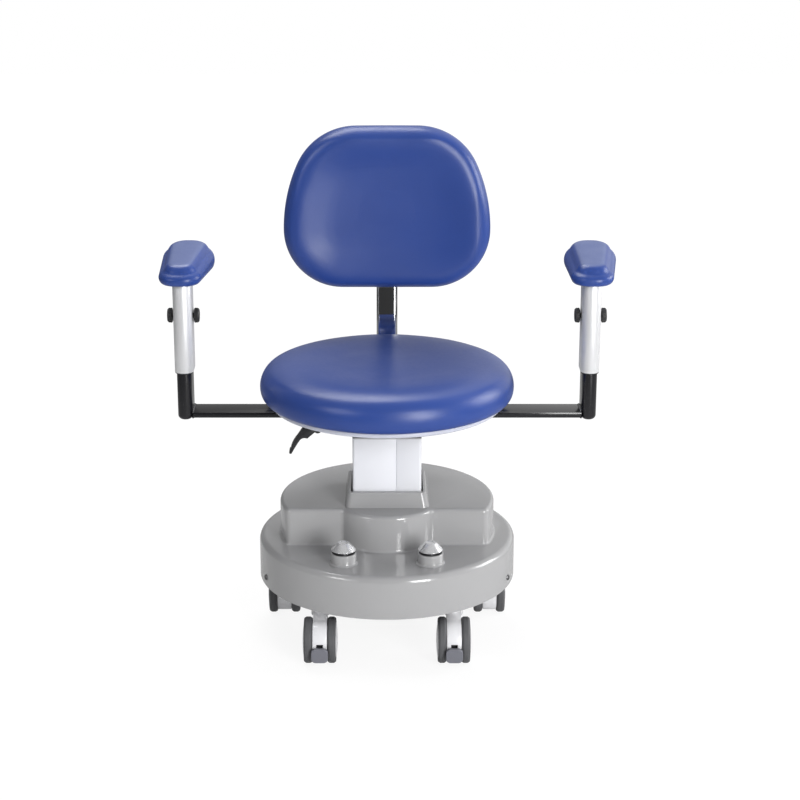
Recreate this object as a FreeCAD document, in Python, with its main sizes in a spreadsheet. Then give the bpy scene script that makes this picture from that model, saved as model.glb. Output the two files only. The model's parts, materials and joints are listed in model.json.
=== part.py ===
"""Electric examination chair: a lifting column on a moulded base with five castors.

Front is -Y, up is +Z, and the origin is on the floor under the lift column.
Lengths are in millimetres.  Every size is a cell of the sheet "Sizes", and each
sub-part is bound to it by expressions.
"""
import FreeCAD, Part
import math
import os
from types import SimpleNamespace

import Sketcher

SIZES = {
    # clearances
    "slide_gap": 0.3,
    "pin_gap": 0.1,
    "collar_gap": 2.5,
    # base cover
    "base_radius": 200,
    "skirt_bottom": 83,
    "deck_top": 149,
    "cover_wall": 3,
    "skirt_round": 10,
    "deck_width": 33,
    "plateau_top": 207,
    "plateau_front": 64,
    "plateau_round": 6,
    "plateau_corner": 10,
    "bulge_half": 68,
    "bulge_reach": 34,
    "deck_fillet": 4,
    "collar_height": 24,
    "collar_wall": 5,
    "collar_flare": 5,
    # foot buttons
    "button_across": 65.5,
    "button_inset": 63,
    "boss_radius": 19.5,
    "boss_height": 17,
    "boss_flare": 3,
    "button_stem": 8,
    "button_travel": 4,
    "button_radius": 18.7,
    "button_top_radius": 8.5,
    "button_height": 12,
    "switch_side": 30,
    "switch_height": 28,
    # floor plate and castors
    "plate_bottom": 85,
    "plate_thick": 6,
    "plate_flange": 14,
    "flange_wall": 4,
    "screw_shank": 2.5,
    "castor_inset": 28,
    "castor_trail": 26,
    "socket_radius": 15,
    "socket_height": 14,
    "stem_radius": 5.5,
    "neck_radius": 14,
    "neck_top": 81,
    "neck_height": 14,
    "hood_radius": 32,
    "hood_width": 21.6,
    "hood_cut": 10,
    "wheel_radius": 35,
    "wheel_width": 13.2,
    "wheel_gap": 0.5,
    "tread_round": 3.5,
    "hub_radius": 28,
    "hub_bulge": 2,
    "axle_radius": 4,
    "pedal_pin": 2.2,
    "pedal_back": 16,
    "pedal_drop": 16.5,
    "pedal_width": 25.5,
    "pedal_height": 22.5,
    "pedal_thick": 6,
    "pedal_arm": 7,
    "pedal_corner": 7,
    "pedal_gap": 1,
    "pedal_slot": 10,
    "pedal_floor": 15,
    # lift column and drive
    "column_width": 106,
    "column_depth": 92,
    "column_wall": 3,
    "column_round": 4,
    "column_top": 315,
    "seam_across": 14,
    "seam_width": 1.4,
    "seam_depth": 1,
    "glide_wall": 3.5,
    "glide_height": 40,
    "glide_lip": 2,
    "inner_lift": 6,
    "inner_start": 16,
    "head_thick": 6,
    "head_margin": 5,
    "drive_radius": 15,
    "drive_top": 25,
    "rod_radius": 9,
    "motor_radius": 20,
    "motor_height": 90,
    "gear_height": 13,
    "gear_half": 40,
    "gear_deep": 30,
    "box_across": 100,
    "box_back": 45,
    "box_width": 70,
    "box_depth": 80,
    "control_height": 52,
    "supply_height": 70,
    # mains inlet at the back of the skirt
    "inlet_height": 124.5,
    "inlet_width": 28.4,
    "inlet_tall": 20.4,
    "inlet_depth": 22,
    "inlet_wall": 2,
    "inlet_socket": 14,
    "inlet_rim": 10.8,
    "inlet_flange": 2.2,
    "inlet_recess": 4.5,
    "inlet_block": 12,
    "inlet_margin": 6,
    "inlet_ease": 0.5,
    # seat
    "ring_radius": 48,
    "ring_thick": 4.5,
    "spigot_radius": 12,
    "frame_width": 190,
    "frame_depth": 150,
    "frame_plate": 6,
    "frame_height": 24,
    "frame_lip": 22,
    "frame_lip_thick": 4,
    "bolt_radius": 4,
    "bolt_head": 6.5,
    "bolt_head_height": 4,
    "seat_overhang": 18,
    "pan_wall": 2.5,
    "pan_rim": 7,
    "board_thick": 12,
    "seat_radius": 196,
    "seat_thick": 58,
    "seat_waist": 17,
    "seat_crest": 118,
    "seat_dish": 4,
    "seat_hollow": 30,
    # armrests
    "arm_across": 310,
    "bar_width": 45,
    "bar_thick": 8,
    "bar_start": 30,
    "post_width": 23,
    "post_depth": 50,
    "post_wall": 2.5,
    "post_drop": 4,
    "post_round": 7,
    "sleeve_wall": 2.5,
    "sleeve_rise": 72,
    "sleeve_length": 139,
    "sleeve_cap": 5,
    "clamp_rise": 85,
    "arm_travel": 20,
    "clamp_radius": 4,
    "knob_radius": 11.5,
    "knob_thick": 8,
    "knob_standoff": 2,
    "pivot_radius": 6,
    "pad_plate_width": 40,
    "pad_plate_length": 104,
    "pad_plate_thick": 4,
    "pad_length": 155,
    "pad_back": 28,
    "pad_rear_width": 81,
    "pad_front_width": 66,
    "pad_blunt": 3,
    "pad_thick": 34,
    "pad_bevel": 12,
    "pad_step": 12.5,
    "pad_tuck": 8,
    "pad_yaw": 3,
    "pad_slope": 5.7,
    # tilt lever
    "lever_out": 10,
    "lever_forward": 62,
    "lever_thick": 20,
    "lever_eye": 6,
    "lever_pin": 4,
    "lever_reach": 42,
    "lever_fall": 40,
    # backrest
    "bracket_wall": 5,
    "hinge_gap": 20,
    "hinge_rise": 7,
    "hinge_pin": 6,
    "hinge_eye": 12,
    "hinge_shoulder": 1,
    "back_bar_width": 34,
    "back_bar_thick": 12,
    "back_bar_bend": 40,
    "back_bar_gap": 13,
    "back_bar_top": 665,
    "back_bottom": 500,
    "back_height": 260,
    "back_width": 330,
    "back_foot_bend": 94,
    "back_side_bend": 258,
    "back_shoulder_rise": 200,
    "back_cushion_thick": 46,
    "back_border": 30,
    "back_dish": 3.5,
    "back_shell_thick": 11,
    "back_shell_inset": 9,
    "slider_rise": 75,
    "slider_height": 70,
    "slider_width": 54,
    "slider_wall": 7.7,
    "back_knob_radius": 19,
    "back_knob_thick": 15,
    "back_stud": 4,
}

CASTOR_ANGLES = (-36, 36, 108, 180, 252)      # from the front, towards +X
SCREW_ANGLES = (-21, 60, 120, 201)            # from +X, towards the back
BRAKED = (1, 2)                               # the castors with a brake pedal
SIDES = {"left": -1, "right": 1}
DIAGONAL = math.sqrt(0.5)
NEAR = 0.01


class Size:
    """A length that carries its value and the sheet expression it comes from."""

    def __init__(self, value, text):
        self.value = value
        self.text = text

    def __add__(self, other):
        other = as_size(other)
        return Size(self.value + other.value, f"({self.text} + {other.text})")

    def __sub__(self, other):
        other = as_size(other)
        return Size(self.value - other.value, f"({self.text} - {other.text})")

    def __mul__(self, other):
        other = as_size(other)
        return Size(self.value * other.value, f"({self.text} * {other.text})")

    def __truediv__(self, other):
        other = as_size(other)
        return Size(self.value / other.value, f"({self.text} / {other.text})")

    def __radd__(self, other):
        return as_size(other) + self

    def __rsub__(self, other):
        return as_size(other) - self

    def __rmul__(self, other):
        return as_size(other) * self

    def __neg__(self):
        return Size(-self.value, f"(0 - {self.text})")


def as_size(number):
    """A plain number as a Size."""
    return number if isinstance(number, Size) else Size(float(number), f"({number:.6f})")


def root(size):
    """Square root of a Size."""
    return Size(math.sqrt(size.value), f"sqrt({size.text})")


class Via(tuple):
    """A point that the arc between two corners of a loop passes through."""


class Circle:
    """A round loop of a sketch."""

    def __init__(self, across, along, radius):
        self.centre = (across, along)
        self.radius = radius


doc = FreeCAD.newDocument("ExaminationChair")
sheet = doc.addObject("Spreadsheet::Sheet", "Sizes")
for row, (alias, number) in enumerate(SIZES.items(), 1):
    sheet.set(f"A{row}", alias)
    sheet.set(f"B{row}", str(number))
    sheet.setAlias(f"B{row}", alias)
doc.recompute()

dim = SimpleNamespace(**{alias: Size(float(number), f"Sizes.{alias}") for alias, number in SIZES.items()})
nodes = []

# Heights and places that several sub-parts share
castor_circle = dim.base_radius - dim.castor_inset
button_forward = dim.base_radius - dim.button_inset
plateau_radius = dim.base_radius - dim.deck_width
pan_radius = dim.seat_radius - dim.seat_overhang
lever_across = dim.frame_width / 2 + dim.lever_out
hinge_back = dim.frame_depth / 2 + dim.hinge_gap
back_bar_offset = dim.seat_radius + dim.back_bar_gap + dim.back_bar_thick / 2
plate_top = dim.plate_bottom + dim.plate_thick
collar_top = dim.plateau_top + dim.collar_height
boss_top = dim.deck_top + dim.boss_height
inner_top = dim.column_top + dim.inner_lift
head_top = inner_top + dim.head_thick
ring_bottom = head_top + dim.ring_thick + dim.slide_gap
frame_bottom = ring_bottom + dim.ring_thick - dim.slide_gap
bar_bottom = frame_bottom + dim.frame_plate
pan_bottom = frame_bottom + dim.frame_height
board_bottom = pan_bottom + dim.pan_wall
cushion_bottom = pan_bottom + dim.pan_rim
post_bottom = bar_bottom - dim.post_drop
sleeve_bottom = bar_bottom + dim.sleeve_rise
sleeve_top = sleeve_bottom + dim.sleeve_length
clamp_height = sleeve_bottom + dim.clamp_rise
pad_bottom = sleeve_top + 1
bar_end = dim.arm_across - dim.post_width / 2
inner_width = dim.column_width - 2 * (dim.column_wall + dim.glide_wall)
inner_depth = dim.column_depth - 2 * (dim.column_wall + dim.glide_wall)
hinge_height = frame_bottom + dim.hinge_rise
slider_bottom = dim.back_bottom + dim.slider_rise
shell_back = back_bar_offset - dim.back_bar_thick / 2 - dim.back_shell_thick
cushion_back = shell_back - dim.back_shell_thick
lever_height = frame_bottom + dim.frame_plate / 2
inlet_face = dim.base_radius - dim.inlet_recess


def vector(point):
    """A sketch point as a vector."""
    return FreeCAD.Vector(as_size(point[0]).value, as_size(point[1]).value, 0)


def fix(sketch, geometry, spot, point):
    """Hold one sketch point at its place, by expressions."""
    for kind, axis, place in (("DistanceX", -2, point[0]), ("DistanceY", -1, point[1])):
        place = as_size(place)
        if abs(place.value) < 1e-9:
            sketch.addConstraint(Sketcher.Constraint("PointOnObject", geometry, spot, axis))
        else:
            held = sketch.addConstraint(Sketcher.Constraint(kind, -1, 1, geometry, spot, place.value))
            sketch.setExpression(f"Constraints[{held}]", place.text)


def draw_circle(sketch, circle):
    """Add a round loop."""
    radius = as_size(circle.radius)
    made = sketch.addGeometry(Part.Circle(vector(circle.centre), FreeCAD.Vector(0, 0, 1), radius.value))
    fix(sketch, made, 3, circle.centre)
    held = sketch.addConstraint(Sketcher.Constraint("Radius", made, radius.value))
    sketch.setExpression(f"Constraints[{held}]", radius.text)


def draw_loop(sketch, loop, closed=True):
    """Add lines between corners, and an arc wherever a Via point stands between two."""
    corners = [index for index, point in enumerate(loop) if not isinstance(point, Via)]
    count = len(corners) if closed else len(corners) - 1
    ends = []
    for turn in range(count):
        here = corners[turn]
        start = loop[here]
        end = loop[corners[(turn + 1) % len(corners)]]
        middle = loop[(here + 1) % len(loop)]
        if isinstance(middle, Via):
            made = sketch.addGeometry(Part.Arc(vector(start), vector(middle), vector(end)))
            backwards = (sketch.getPoint(made, 1) - vector(start)).Length > NEAR
            ends.append((made, 2, 1) if backwards else (made, 1, 2))
        else:
            ends.append((sketch.addGeometry(Part.LineSegment(vector(start), vector(end))), 1, 2))
    for turn in range(count if closed else count - 1):
        made, _, tail = ends[turn]
        follower, head, _ = ends[(turn + 1) % count]
        sketch.addConstraint(Sketcher.Constraint("Coincident", made, tail, follower, head))
    for turn, (made, head, tail) in enumerate(ends):
        fix(sketch, made, head, loop[corners[turn]])
        middle = loop[(corners[turn] + 1) % len(loop)]
        if isinstance(middle, Via):
            point = sketch.addGeometry(Part.Point(vector(middle)), True)
            fix(sketch, point, 1, middle)
            sketch.addConstraint(Sketcher.Constraint("PointOnObject", point, 1, made))
    if not closed:
        fix(sketch, ends[-1][0], ends[-1][2], loop[corners[-1]])


def new_sketch(body, plane, loops, offset=None, closed=True, tilt=0):
    """A sketch on one of the body's origin planes, moved along its normal and tilted about its X axis."""
    sketch = body.newObject("Sketcher::SketchObject", f"{body.Name}_sketch")
    support = [feature for feature in body.Origin.OriginFeatures if feature.Role == f"{plane}_Plane"]
    sketch.AttachmentSupport = [(support[0], "")]
    sketch.MapMode = "FlatFace"
    if offset is not None:
        sketch.setExpression("AttachmentOffset.Base.z", as_size(offset).text)
    if tilt:
        turn = FreeCAD.Rotation(FreeCAD.Vector(1, 0, 0), as_size(tilt).value)
        sketch.AttachmentOffset = FreeCAD.Placement(sketch.AttachmentOffset.Base, turn)
        sketch.setExpression("AttachmentOffset.Rotation.Angle", as_size(tilt).text)
    for loop in loops:
        if isinstance(loop, Circle):
            draw_circle(sketch, loop)
        else:
            draw_loop(sketch, loop, closed)
    return sketch


def new_body(label, across=0, along=0, height=0, turn=0):
    """A body placed by expressions, turned about Z by the angle."""
    body = doc.addObject("PartDesign::Body", label)
    body.Label = label
    place(body, across, along, height, turn)
    return body


def place(item, across=0, along=0, height=0, turn=0):
    """Bind an item's place."""
    for axis, size in (("x", across), ("y", along), ("z", height)):
        item.setExpression(f"Placement.Base.{axis}", as_size(size).text)
    if turn:
        item.Placement.Rotation = FreeCAD.Rotation(FreeCAD.Vector(0, 0, 1), as_size(turn).value)
        item.setExpression("Placement.Rotation.Angle", as_size(turn).text)


def keep(item):
    """List an item as a sub-part to hand over."""
    nodes.append(item)
    return item


def pad(body, plane, loops, length, offset=None, middle=False):
    """Add the loops' area, from the offset along the plane's normal."""
    feature = body.newObject("PartDesign::Pad", f"{body.Name}_pad")
    feature.Profile = new_sketch(body, plane, loops, offset)
    feature.setExpression("Length", as_size(length).text)
    feature.Midplane = middle
    doc.recompute()
    return feature


def cut(body, plane, loops, length, offset=None, middle=False):
    """Take the loops' area away, from the offset along the plane's normal."""
    before = body.Shape.Volume
    feature = body.newObject("PartDesign::Pocket", f"{body.Name}_pocket")
    feature.Profile = new_sketch(body, plane, loops, offset)
    feature.setExpression("Length", as_size(length).text)
    feature.Midplane = middle
    feature.Reversed = not middle
    doc.recompute()
    if not body.Shape.Volume < before - NEAR:
        raise RuntimeError(f"{body.Label}: a pocket takes nothing away")
    return feature


def revolve(body, plane, loops, axis="V_Axis"):
    """Turn the loops about a sketch axis."""
    feature = body.newObject("PartDesign::Revolution", f"{body.Name}_revolution")
    feature.Profile = new_sketch(body, plane, loops)
    feature.ReferenceAxis = (feature.Profile[0], [axis])
    feature.Angle = 360
    doc.recompute()
    return feature


def loft(body, plane, sections, ruled=False, kind="Additive"):
    """Add a loft through sections of offset, loop and, where it leans, tilt, or take it away."""
    profiles = [new_sketch(body, plane, [loop], offset, tilt=sum(tilt)) for offset, loop, *tilt in sections]
    feature = body.newObject(f"PartDesign::{kind}Loft", f"{body.Name}_loft")
    feature.Profile = profiles[0]
    feature.Sections = profiles[1:]
    feature.Ruled = ruled
    doc.recompute()
    return feature


def round_edges(body, radius, pick):
    """Round the edges of the body's last shape that the test picks."""
    doc.recompute()
    last = body.Tip
    edges = [f"Edge{index}" for index, edge in enumerate(last.Shape.Edges, 1) if pick(edge)]
    if not edges:
        raise RuntimeError(f"{body.Label}: no edge to round")
    feature = body.newObject("PartDesign::Fillet", f"{body.Name}_fillet")
    feature.Base = (last, edges)
    feature.setExpression("Radius", as_size(radius).text)
    doc.recompute()
    return feature


def lies_at(axis, place):
    """A test for edges that lie wholly at one place of an axis."""
    low, high = f"{axis}Min", f"{axis}Max"
    value = as_size(place).value

    def test(edge):
        box = edge.BoundBox
        return abs(getattr(box, low) - value) < NEAR and abs(getattr(box, high) - value) < NEAR

    return test


def reach(edge):
    """Greatest distance of an edge from the Z axis."""
    return max(math.hypot(point.x, point.y) for point in edge.discretize(7))


def upright(edge):
    """A test for vertical straight edges."""
    box = edge.BoundBox
    return box.XLength < NEAR and box.YLength < NEAR


def rectangle(width, depth, across=0, along=0):
    """A rectangle about a centre."""
    half, deep = width / 2, depth / 2
    return [(across - half, along - deep), (across + half, along - deep),
            (across + half, along + deep), (across - half, along + deep)]


def rounded(width, depth, radius, across=0, along=0):
    """A rectangle with round corners, about a centre."""
    half, deep, bite = width / 2, depth / 2, radius * (1 - DIAGONAL)
    return [
        (across - half + radius, along - deep), (across + half - radius, along - deep),
        Via((across + half - bite, along - deep + bite)),
        (across + half, along - deep + radius), (across + half, along + deep - radius),
        Via((across + half - bite, along + deep - bite)),
        (across + half - radius, along + deep), (across - half + radius, along + deep),
        Via((across - half + bite, along + deep - bite)),
        (across - half, along + deep - radius), (across - half, along - deep + radius),
        Via((across - half + bite, along - deep + bite)),
    ]


def flat_oval(width, depth, across=0, along=0):
    """An oval with straight sides along Y and round ends."""
    half, deep = width / 2, depth / 2
    return [
        (across + half, along - deep + half), (across + half, along + deep - half),
        Via((across, along + deep)),
        (across - half, along + deep - half), (across - half, along - deep + half),
        Via((across, along - deep)),
    ]


def block(label, low, high):
    """A box between two corners."""
    box = doc.addObject("Part::Box", label)
    box.Label = label
    for name, start, end in zip(("Length", "Width", "Height"), low, high):
        box.setExpression(name, (as_size(end) - as_size(start)).text)
    place(box, *low)
    return box


def rod(label, radius, length, across, along, height, direction=(0, 0, 1)):
    """A cylinder from a place along a direction."""
    bar = doc.addObject("Part::Cylinder", label)
    bar.Label = label
    bar.setExpression("Radius", as_size(radius).text)
    bar.setExpression("Height", as_size(length).text)
    bar.Placement.Rotation = FreeCAD.Rotation(FreeCAD.Vector(0, 0, 1), FreeCAD.Vector(*direction))
    for axis, size in (("x", across), ("y", along), ("z", height)):
        bar.setExpression(f"Placement.Base.{axis}", as_size(size).text)
    return bar


def joined(label, items):
    """Several solids fused into one."""
    fused = doc.addObject("Part::MultiFuse", label)
    fused.Label = label
    fused.Shapes = items
    return fused


def bored(label, solid, tools):
    """A solid with others taken away."""
    taken = tools[0] if len(tools) == 1 else joined(f"{label}_tools", tools)
    result = doc.addObject("Part::Cut", label)
    result.Label = label
    result.Base = solid
    result.Tool = taken
    return result


def group(label, items):
    """Separate solids handed over as one sub-part."""
    made = doc.addObject("Part::Compound", label)
    made.Label = label
    made.Links = items
    return keep(made)


def plateau_loop(inset):
    """Outline of the raised D, with the bulge in its flat front wall."""
    radius = plateau_radius - inset
    front = dim.plateau_front - inset
    half = root(radius * radius - front * front)
    bulge = dim.bulge_half - inset
    return [
        (bulge, -front), (half, -front), Via((0, radius)), (-half, -front), (-bulge, -front),
        Via((0, -(front + dim.bulge_reach))),
    ]


def make_base_cover():
    """The moulded shell: skirt, deck, D-shaped plateau and collar."""
    body = keep(new_body("base_cover"))
    height = dim.deck_top - dim.skirt_bottom
    pad(body, "XY", [Circle(0, 0, dim.base_radius)], height, dim.skirt_bottom)
    pad(body, "XY", [plateau_loop(0)], dim.plateau_top - dim.deck_top, dim.deck_top)
    rim_width = dim.column_width + 2 * (dim.collar_gap + dim.collar_wall)
    rim_depth = dim.column_depth + 2 * (dim.collar_gap + dim.collar_wall)
    spread = 2 * dim.collar_flare
    round_edges(body, dim.plateau_corner, lambda edge: upright(edge) and reach(edge) > dim.bulge_half.value
                and edge.BoundBox.ZMin > dim.deck_top.value - NEAR)
    at_deck = lies_at("Z", dim.deck_top)
    at_plateau = lies_at("Z", dim.plateau_top)
    round_edges(body, dim.skirt_round, lambda edge: at_deck(edge) and reach(edge) > dim.base_radius.value - 1)
    round_edges(body, dim.deck_fillet, lambda edge: at_deck(edge) and reach(edge) < dim.base_radius.value
                - dim.skirt_round.value - NEAR)
    round_edges(body, dim.plateau_round, at_plateau)
    loft(body, "XY", [
        (dim.plateau_top - dim.cover_wall,
         rounded(rim_width + spread, rim_depth + spread, dim.plateau_corner)),
        (collar_top, rounded(rim_width, rim_depth, dim.plateau_corner)),
    ], ruled=True)
    round_edges(body, dim.collar_wall / 2, lies_at("Z", collar_top))
    shoulder = dim.deck_top - dim.skirt_round - dim.cover_wall
    cut(body, "XY", [Circle(0, 0, dim.base_radius - dim.cover_wall)], shoulder - dim.skirt_bottom,
        dim.skirt_bottom)
    cut(body, "XY", [Circle(0, 0, dim.base_radius - dim.skirt_round)], dim.skirt_round, shoulder)
    cut(body, "XY", [plateau_loop(dim.cover_wall)], dim.plateau_top - dim.deck_top,
        dim.deck_top - dim.cover_wall)
    cut(body, "XY", [rectangle(rim_width - 2 * dim.collar_wall, rim_depth - 2 * dim.collar_wall)],
        collar_top - dim.deck_top, dim.deck_top)
    bores = [Circle(side * dim.button_across, -button_forward, dim.button_stem + dim.slide_gap)
             for side in SIDES.values()]
    cut(body, "XY", bores, dim.cover_wall + 2, dim.deck_top - dim.cover_wall - 1)
    cut_inlet_seat(body)
    holes = [rod(f"screw_hole_{angle}", dim.screw_shank + dim.pin_gap, 4 * dim.cover_wall,
                 *around(dim.base_radius - 3 * dim.cover_wall, angle), screw_height(),
                 direction=heading(angle)) for angle in SCREW_ANGLES]
    nodes.remove(body)
    body.Label = "base_cover_shell"
    return keep(bored("base_cover", body, holes))


def cut_inlet_seat(body):
    """A thickened flat at the back of the skirt, with the inlet's recess and window."""
    flange_width = dim.inlet_width + 2 * dim.inlet_rim
    flange_tall = dim.inlet_tall + dim.inlet_rim
    back = inlet_face - dim.inlet_block
    pad(body, "XZ", [rectangle(flange_width + 2 * dim.inlet_margin, flange_tall + dim.inlet_margin, 0,
                               dim.inlet_height)],
        dim.inlet_block, -inlet_face)
    cut(body, "XZ", [rectangle(flange_width + 2 * dim.inlet_ease, flange_tall + 2 * dim.inlet_ease, 0,
                               dim.inlet_height)],
        dim.inlet_recess + 1, -(dim.base_radius + 1))
    cut(body, "XZ", [rectangle(dim.inlet_width + 2 * dim.slide_gap, dim.inlet_tall + 2 * dim.slide_gap,
                               0, dim.inlet_height)], dim.base_radius - back, -dim.base_radius)


def around(radius, angle):
    """X and Y of a place at a radius, by angle from +X."""
    return radius * math.cos(math.radians(angle)), radius * math.sin(math.radians(angle))


def heading(angle):
    """Unit direction outwards, by angle from +X."""
    return math.cos(math.radians(angle)), math.sin(math.radians(angle)), 0


def screw_height():
    """Height of the screws round the skirt."""
    return plate_top + dim.plate_flange / 2


def castor_place(angle):
    """X and Y of a castor's stem, by angle from the front."""
    return around(castor_circle, angle - 90)


def make_base_plate():
    """The steel floor plate with its flange and castor sockets."""
    body = new_body("base_plate_steel")
    radius = dim.base_radius - dim.cover_wall - dim.slide_gap
    stems = [castor_place(angle) for angle in CASTOR_ANGLES]
    pad(body, "XY", [Circle(0, 0, radius)], dim.plate_thick, dim.plate_bottom)
    ring = [Circle(0, 0, radius), Circle(0, 0, radius - dim.flange_wall)]
    pad(body, "XY", ring, dim.plate_flange, plate_top)
    pad(body, "XY", [Circle(*stem, dim.socket_radius) for stem in stems], dim.socket_height, plate_top)
    cut(body, "XY", [Circle(*stem, dim.stem_radius + dim.pin_gap) for stem in stems],
        dim.plate_thick + dim.socket_height, dim.plate_bottom)
    holes = [rod(f"plate_hole_{angle}", dim.screw_shank + dim.pin_gap, 3 * dim.flange_wall,
                 *around(radius - 2 * dim.flange_wall, angle), screw_height(),
                 direction=heading(angle)) for angle in SCREW_ANGLES]
    keep(bored("base_plate", body, holes))


def make_cover_screws():
    """Pan-head screws that hold the cover to the plate's flange."""
    screws = []
    for angle in SCREW_ANGLES:
        inner = dim.base_radius - dim.cover_wall - dim.slide_gap - dim.flange_wall
        shank = rod(f"shank_{angle}", dim.screw_shank, dim.base_radius - inner + 1, *around(inner, angle),
                    screw_height(), direction=heading(angle))
        head = rod(f"head_{angle}", 2 * dim.screw_shank, dim.screw_shank, *around(dim.base_radius, angle),
                   screw_height(), direction=heading(angle))
        screws.append(joined(f"cover_screw_{angle}", [shank, head]))
    group("cover_screws", screws)


def make_castor_stems():
    """Steel stems in the plate's sockets, with a shoulder over each castor."""
    stems = []
    bottom = dim.neck_top - dim.neck_height / 2
    for number, angle in enumerate(CASTOR_ANGLES, 1):
        body = new_body(f"castor_stem_{number}", *castor_place(angle))
        top = plate_top + dim.socket_height
        shoulder = dim.neck_top + dim.slide_gap
        wide = dim.stem_radius + 4
        revolve(body, "XZ", [[
            (0, bottom), (dim.stem_radius, bottom), (dim.stem_radius, shoulder), (wide, shoulder),
            (wide, dim.plate_bottom), (dim.stem_radius, dim.plate_bottom), (dim.stem_radius, top), (0, top)]])
        stems.append(body)
    group("castor_stems", stems)


def make_fork(number, angle):
    """A castor's housing: a hood between the wheels, and the neck that turns on the stem."""
    body = keep(new_body(f"castor_{number}_fork", *castor_place(angle)))
    axle = (-dim.castor_trail, dim.wheel_radius)
    crown = dim.wheel_radius + dim.hood_radius
    back = dim.neck_radius - 3
    pad(body, "YZ", [Circle(*axle, dim.hood_radius)], dim.hood_width, middle=True)
    pad(body, "YZ", [[(-dim.castor_trail, dim.wheel_radius), (0, dim.wheel_radius), (back, dim.neck_top
        - dim.neck_height), (back, dim.neck_top - 6), (-back, dim.neck_top - 6), (-dim.castor_trail, crown)]],
        dim.hood_width, middle=True)
    pad(body, "XY", [Circle(0, 0, dim.neck_radius)], dim.neck_height, dim.neck_top - dim.neck_height)
    cut(body, "XY", [Circle(0, 0, dim.stem_radius + dim.pin_gap)], dim.neck_height / 2 + 1,
        dim.neck_top - dim.neck_height / 2 - 1)
    cut(body, "YZ", [Circle(*axle, dim.axle_radius + dim.pin_gap)], 2 * dim.hood_width, middle=True)
    cut(body, "XY", [rectangle(2 * dim.hood_width, 4 * dim.hood_radius, 0, -dim.castor_trail)], dim.hood_cut)
    if number not in BRAKED:
        return
    slot_back = -(dim.castor_trail + dim.pedal_back - 6)
    slot_top = dim.wheel_radius - dim.pedal_drop + 7
    cut(body, "YZ", [[(slot_back, 0), (slot_back, slot_top), (slot_back - dim.hood_radius, slot_top),
                      (slot_back - dim.hood_radius, 0)]], dim.hood_width - 5.6, middle=True)
    notch_top = dim.pedal_floor + dim.pedal_height + 3
    notch_back = -(dim.castor_trail + dim.hood_radius - 6)
    cut(body, "YZ", [[(notch_back, 0), (notch_back, notch_top), (notch_back - dim.hood_radius, notch_top),
                      (notch_back - dim.hood_radius, 0)]], dim.pedal_slot, middle=True)
    cut(body, "YZ", [Circle(*pedal_axis(), dim.pedal_pin + dim.pin_gap)], 2 * dim.hood_width, middle=True)


def pedal_axis():
    """Y and Z of a brake pedal's pivot, from its castor's stem."""
    return -(dim.castor_trail + dim.pedal_back), dim.wheel_radius - dim.pedal_drop


def make_wheels(number, angle):
    """A wheelset: two wheels on one axle."""
    across, along = castor_place(angle)
    spot = (across, along - dim.castor_trail, dim.wheel_radius)
    start = dim.hood_width / 2 + dim.wheel_gap
    end = start + dim.wheel_width
    bore = dim.axle_radius + 0.02
    tread = dim.wheel_radius - dim.tread_round
    bite = dim.tread_round * (1 - DIAGONAL)
    face = dim.hub_radius
    pieces = [rod(f"axle_{number}", dim.axle_radius, 2 * end - 3, spot[0] - end + 1.5, *spot[1:], (1, 0, 0))]
    for side, sign in SIDES.items():
        body = new_body(f"castor_{number}_wheel_{side}", *spot)
        profile = [(start, bore), (start, tread), Via((start + bite, dim.wheel_radius - bite)),
                   (start + dim.tread_round, dim.wheel_radius), (end - dim.tread_round, dim.wheel_radius),
                   Via((end - bite, dim.wheel_radius - bite)), (end, tread), (end, face),
                   Via((end + dim.hub_bulge * 0.8, face / 2)), (end + dim.hub_bulge, bore),
                   (end + dim.hub_bulge, 0), (end - 1.4, 0), (end - 1.4, bore)]
        mirrored = [type(point)((sign * point[0], point[1])) for point in profile]
        revolve(body, "XZ", [mirrored], axis="H_Axis")
        pieces.append(body)
    group(f"castor_{number}_wheels", pieces)


def make_pedal(number, angle):
    """A castor's brake pedal: a plate in front of the hood on a short arm and pin."""
    body = keep(new_body(f"castor_{number}_pedal", *castor_place(angle)))
    along, height = pedal_axis()
    front = -(dim.castor_trail + dim.wheel_radius + dim.pedal_gap)
    inside = dim.hood_width - 5.6 - 2 * dim.slide_gap
    top = dim.pedal_floor + dim.pedal_height
    pad(body, "YZ", [Circle(along, height, dim.pedal_pin + 2)], inside, middle=True)
    low, high = height - dim.pedal_arm / 2, height + dim.pedal_arm / 2
    pad(body, "YZ", [[(along, low), (along, high), (front, high), (front, low)]], inside, middle=True)
    plate = rounded(dim.pedal_width, dim.pedal_height, dim.pedal_corner, 0, (dim.pedal_floor + top) / 2)
    pad(body, "XZ", [plate], dim.pedal_thick, -front)
    round_edges(body, dim.pedal_thick / 4, lies_at("Y", front - dim.pedal_thick))
    pad(body, "YZ", [Circle(along, height, dim.pedal_pin)], dim.hood_width - 0.4, middle=True)


def tube_loops(width, depth, radius, wall):
    """Outer and inner outline of a rectangular tube."""
    return [rounded(width, depth, radius), rounded(width - 2 * wall, depth - 2 * wall, radius - wall / 2)]


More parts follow.
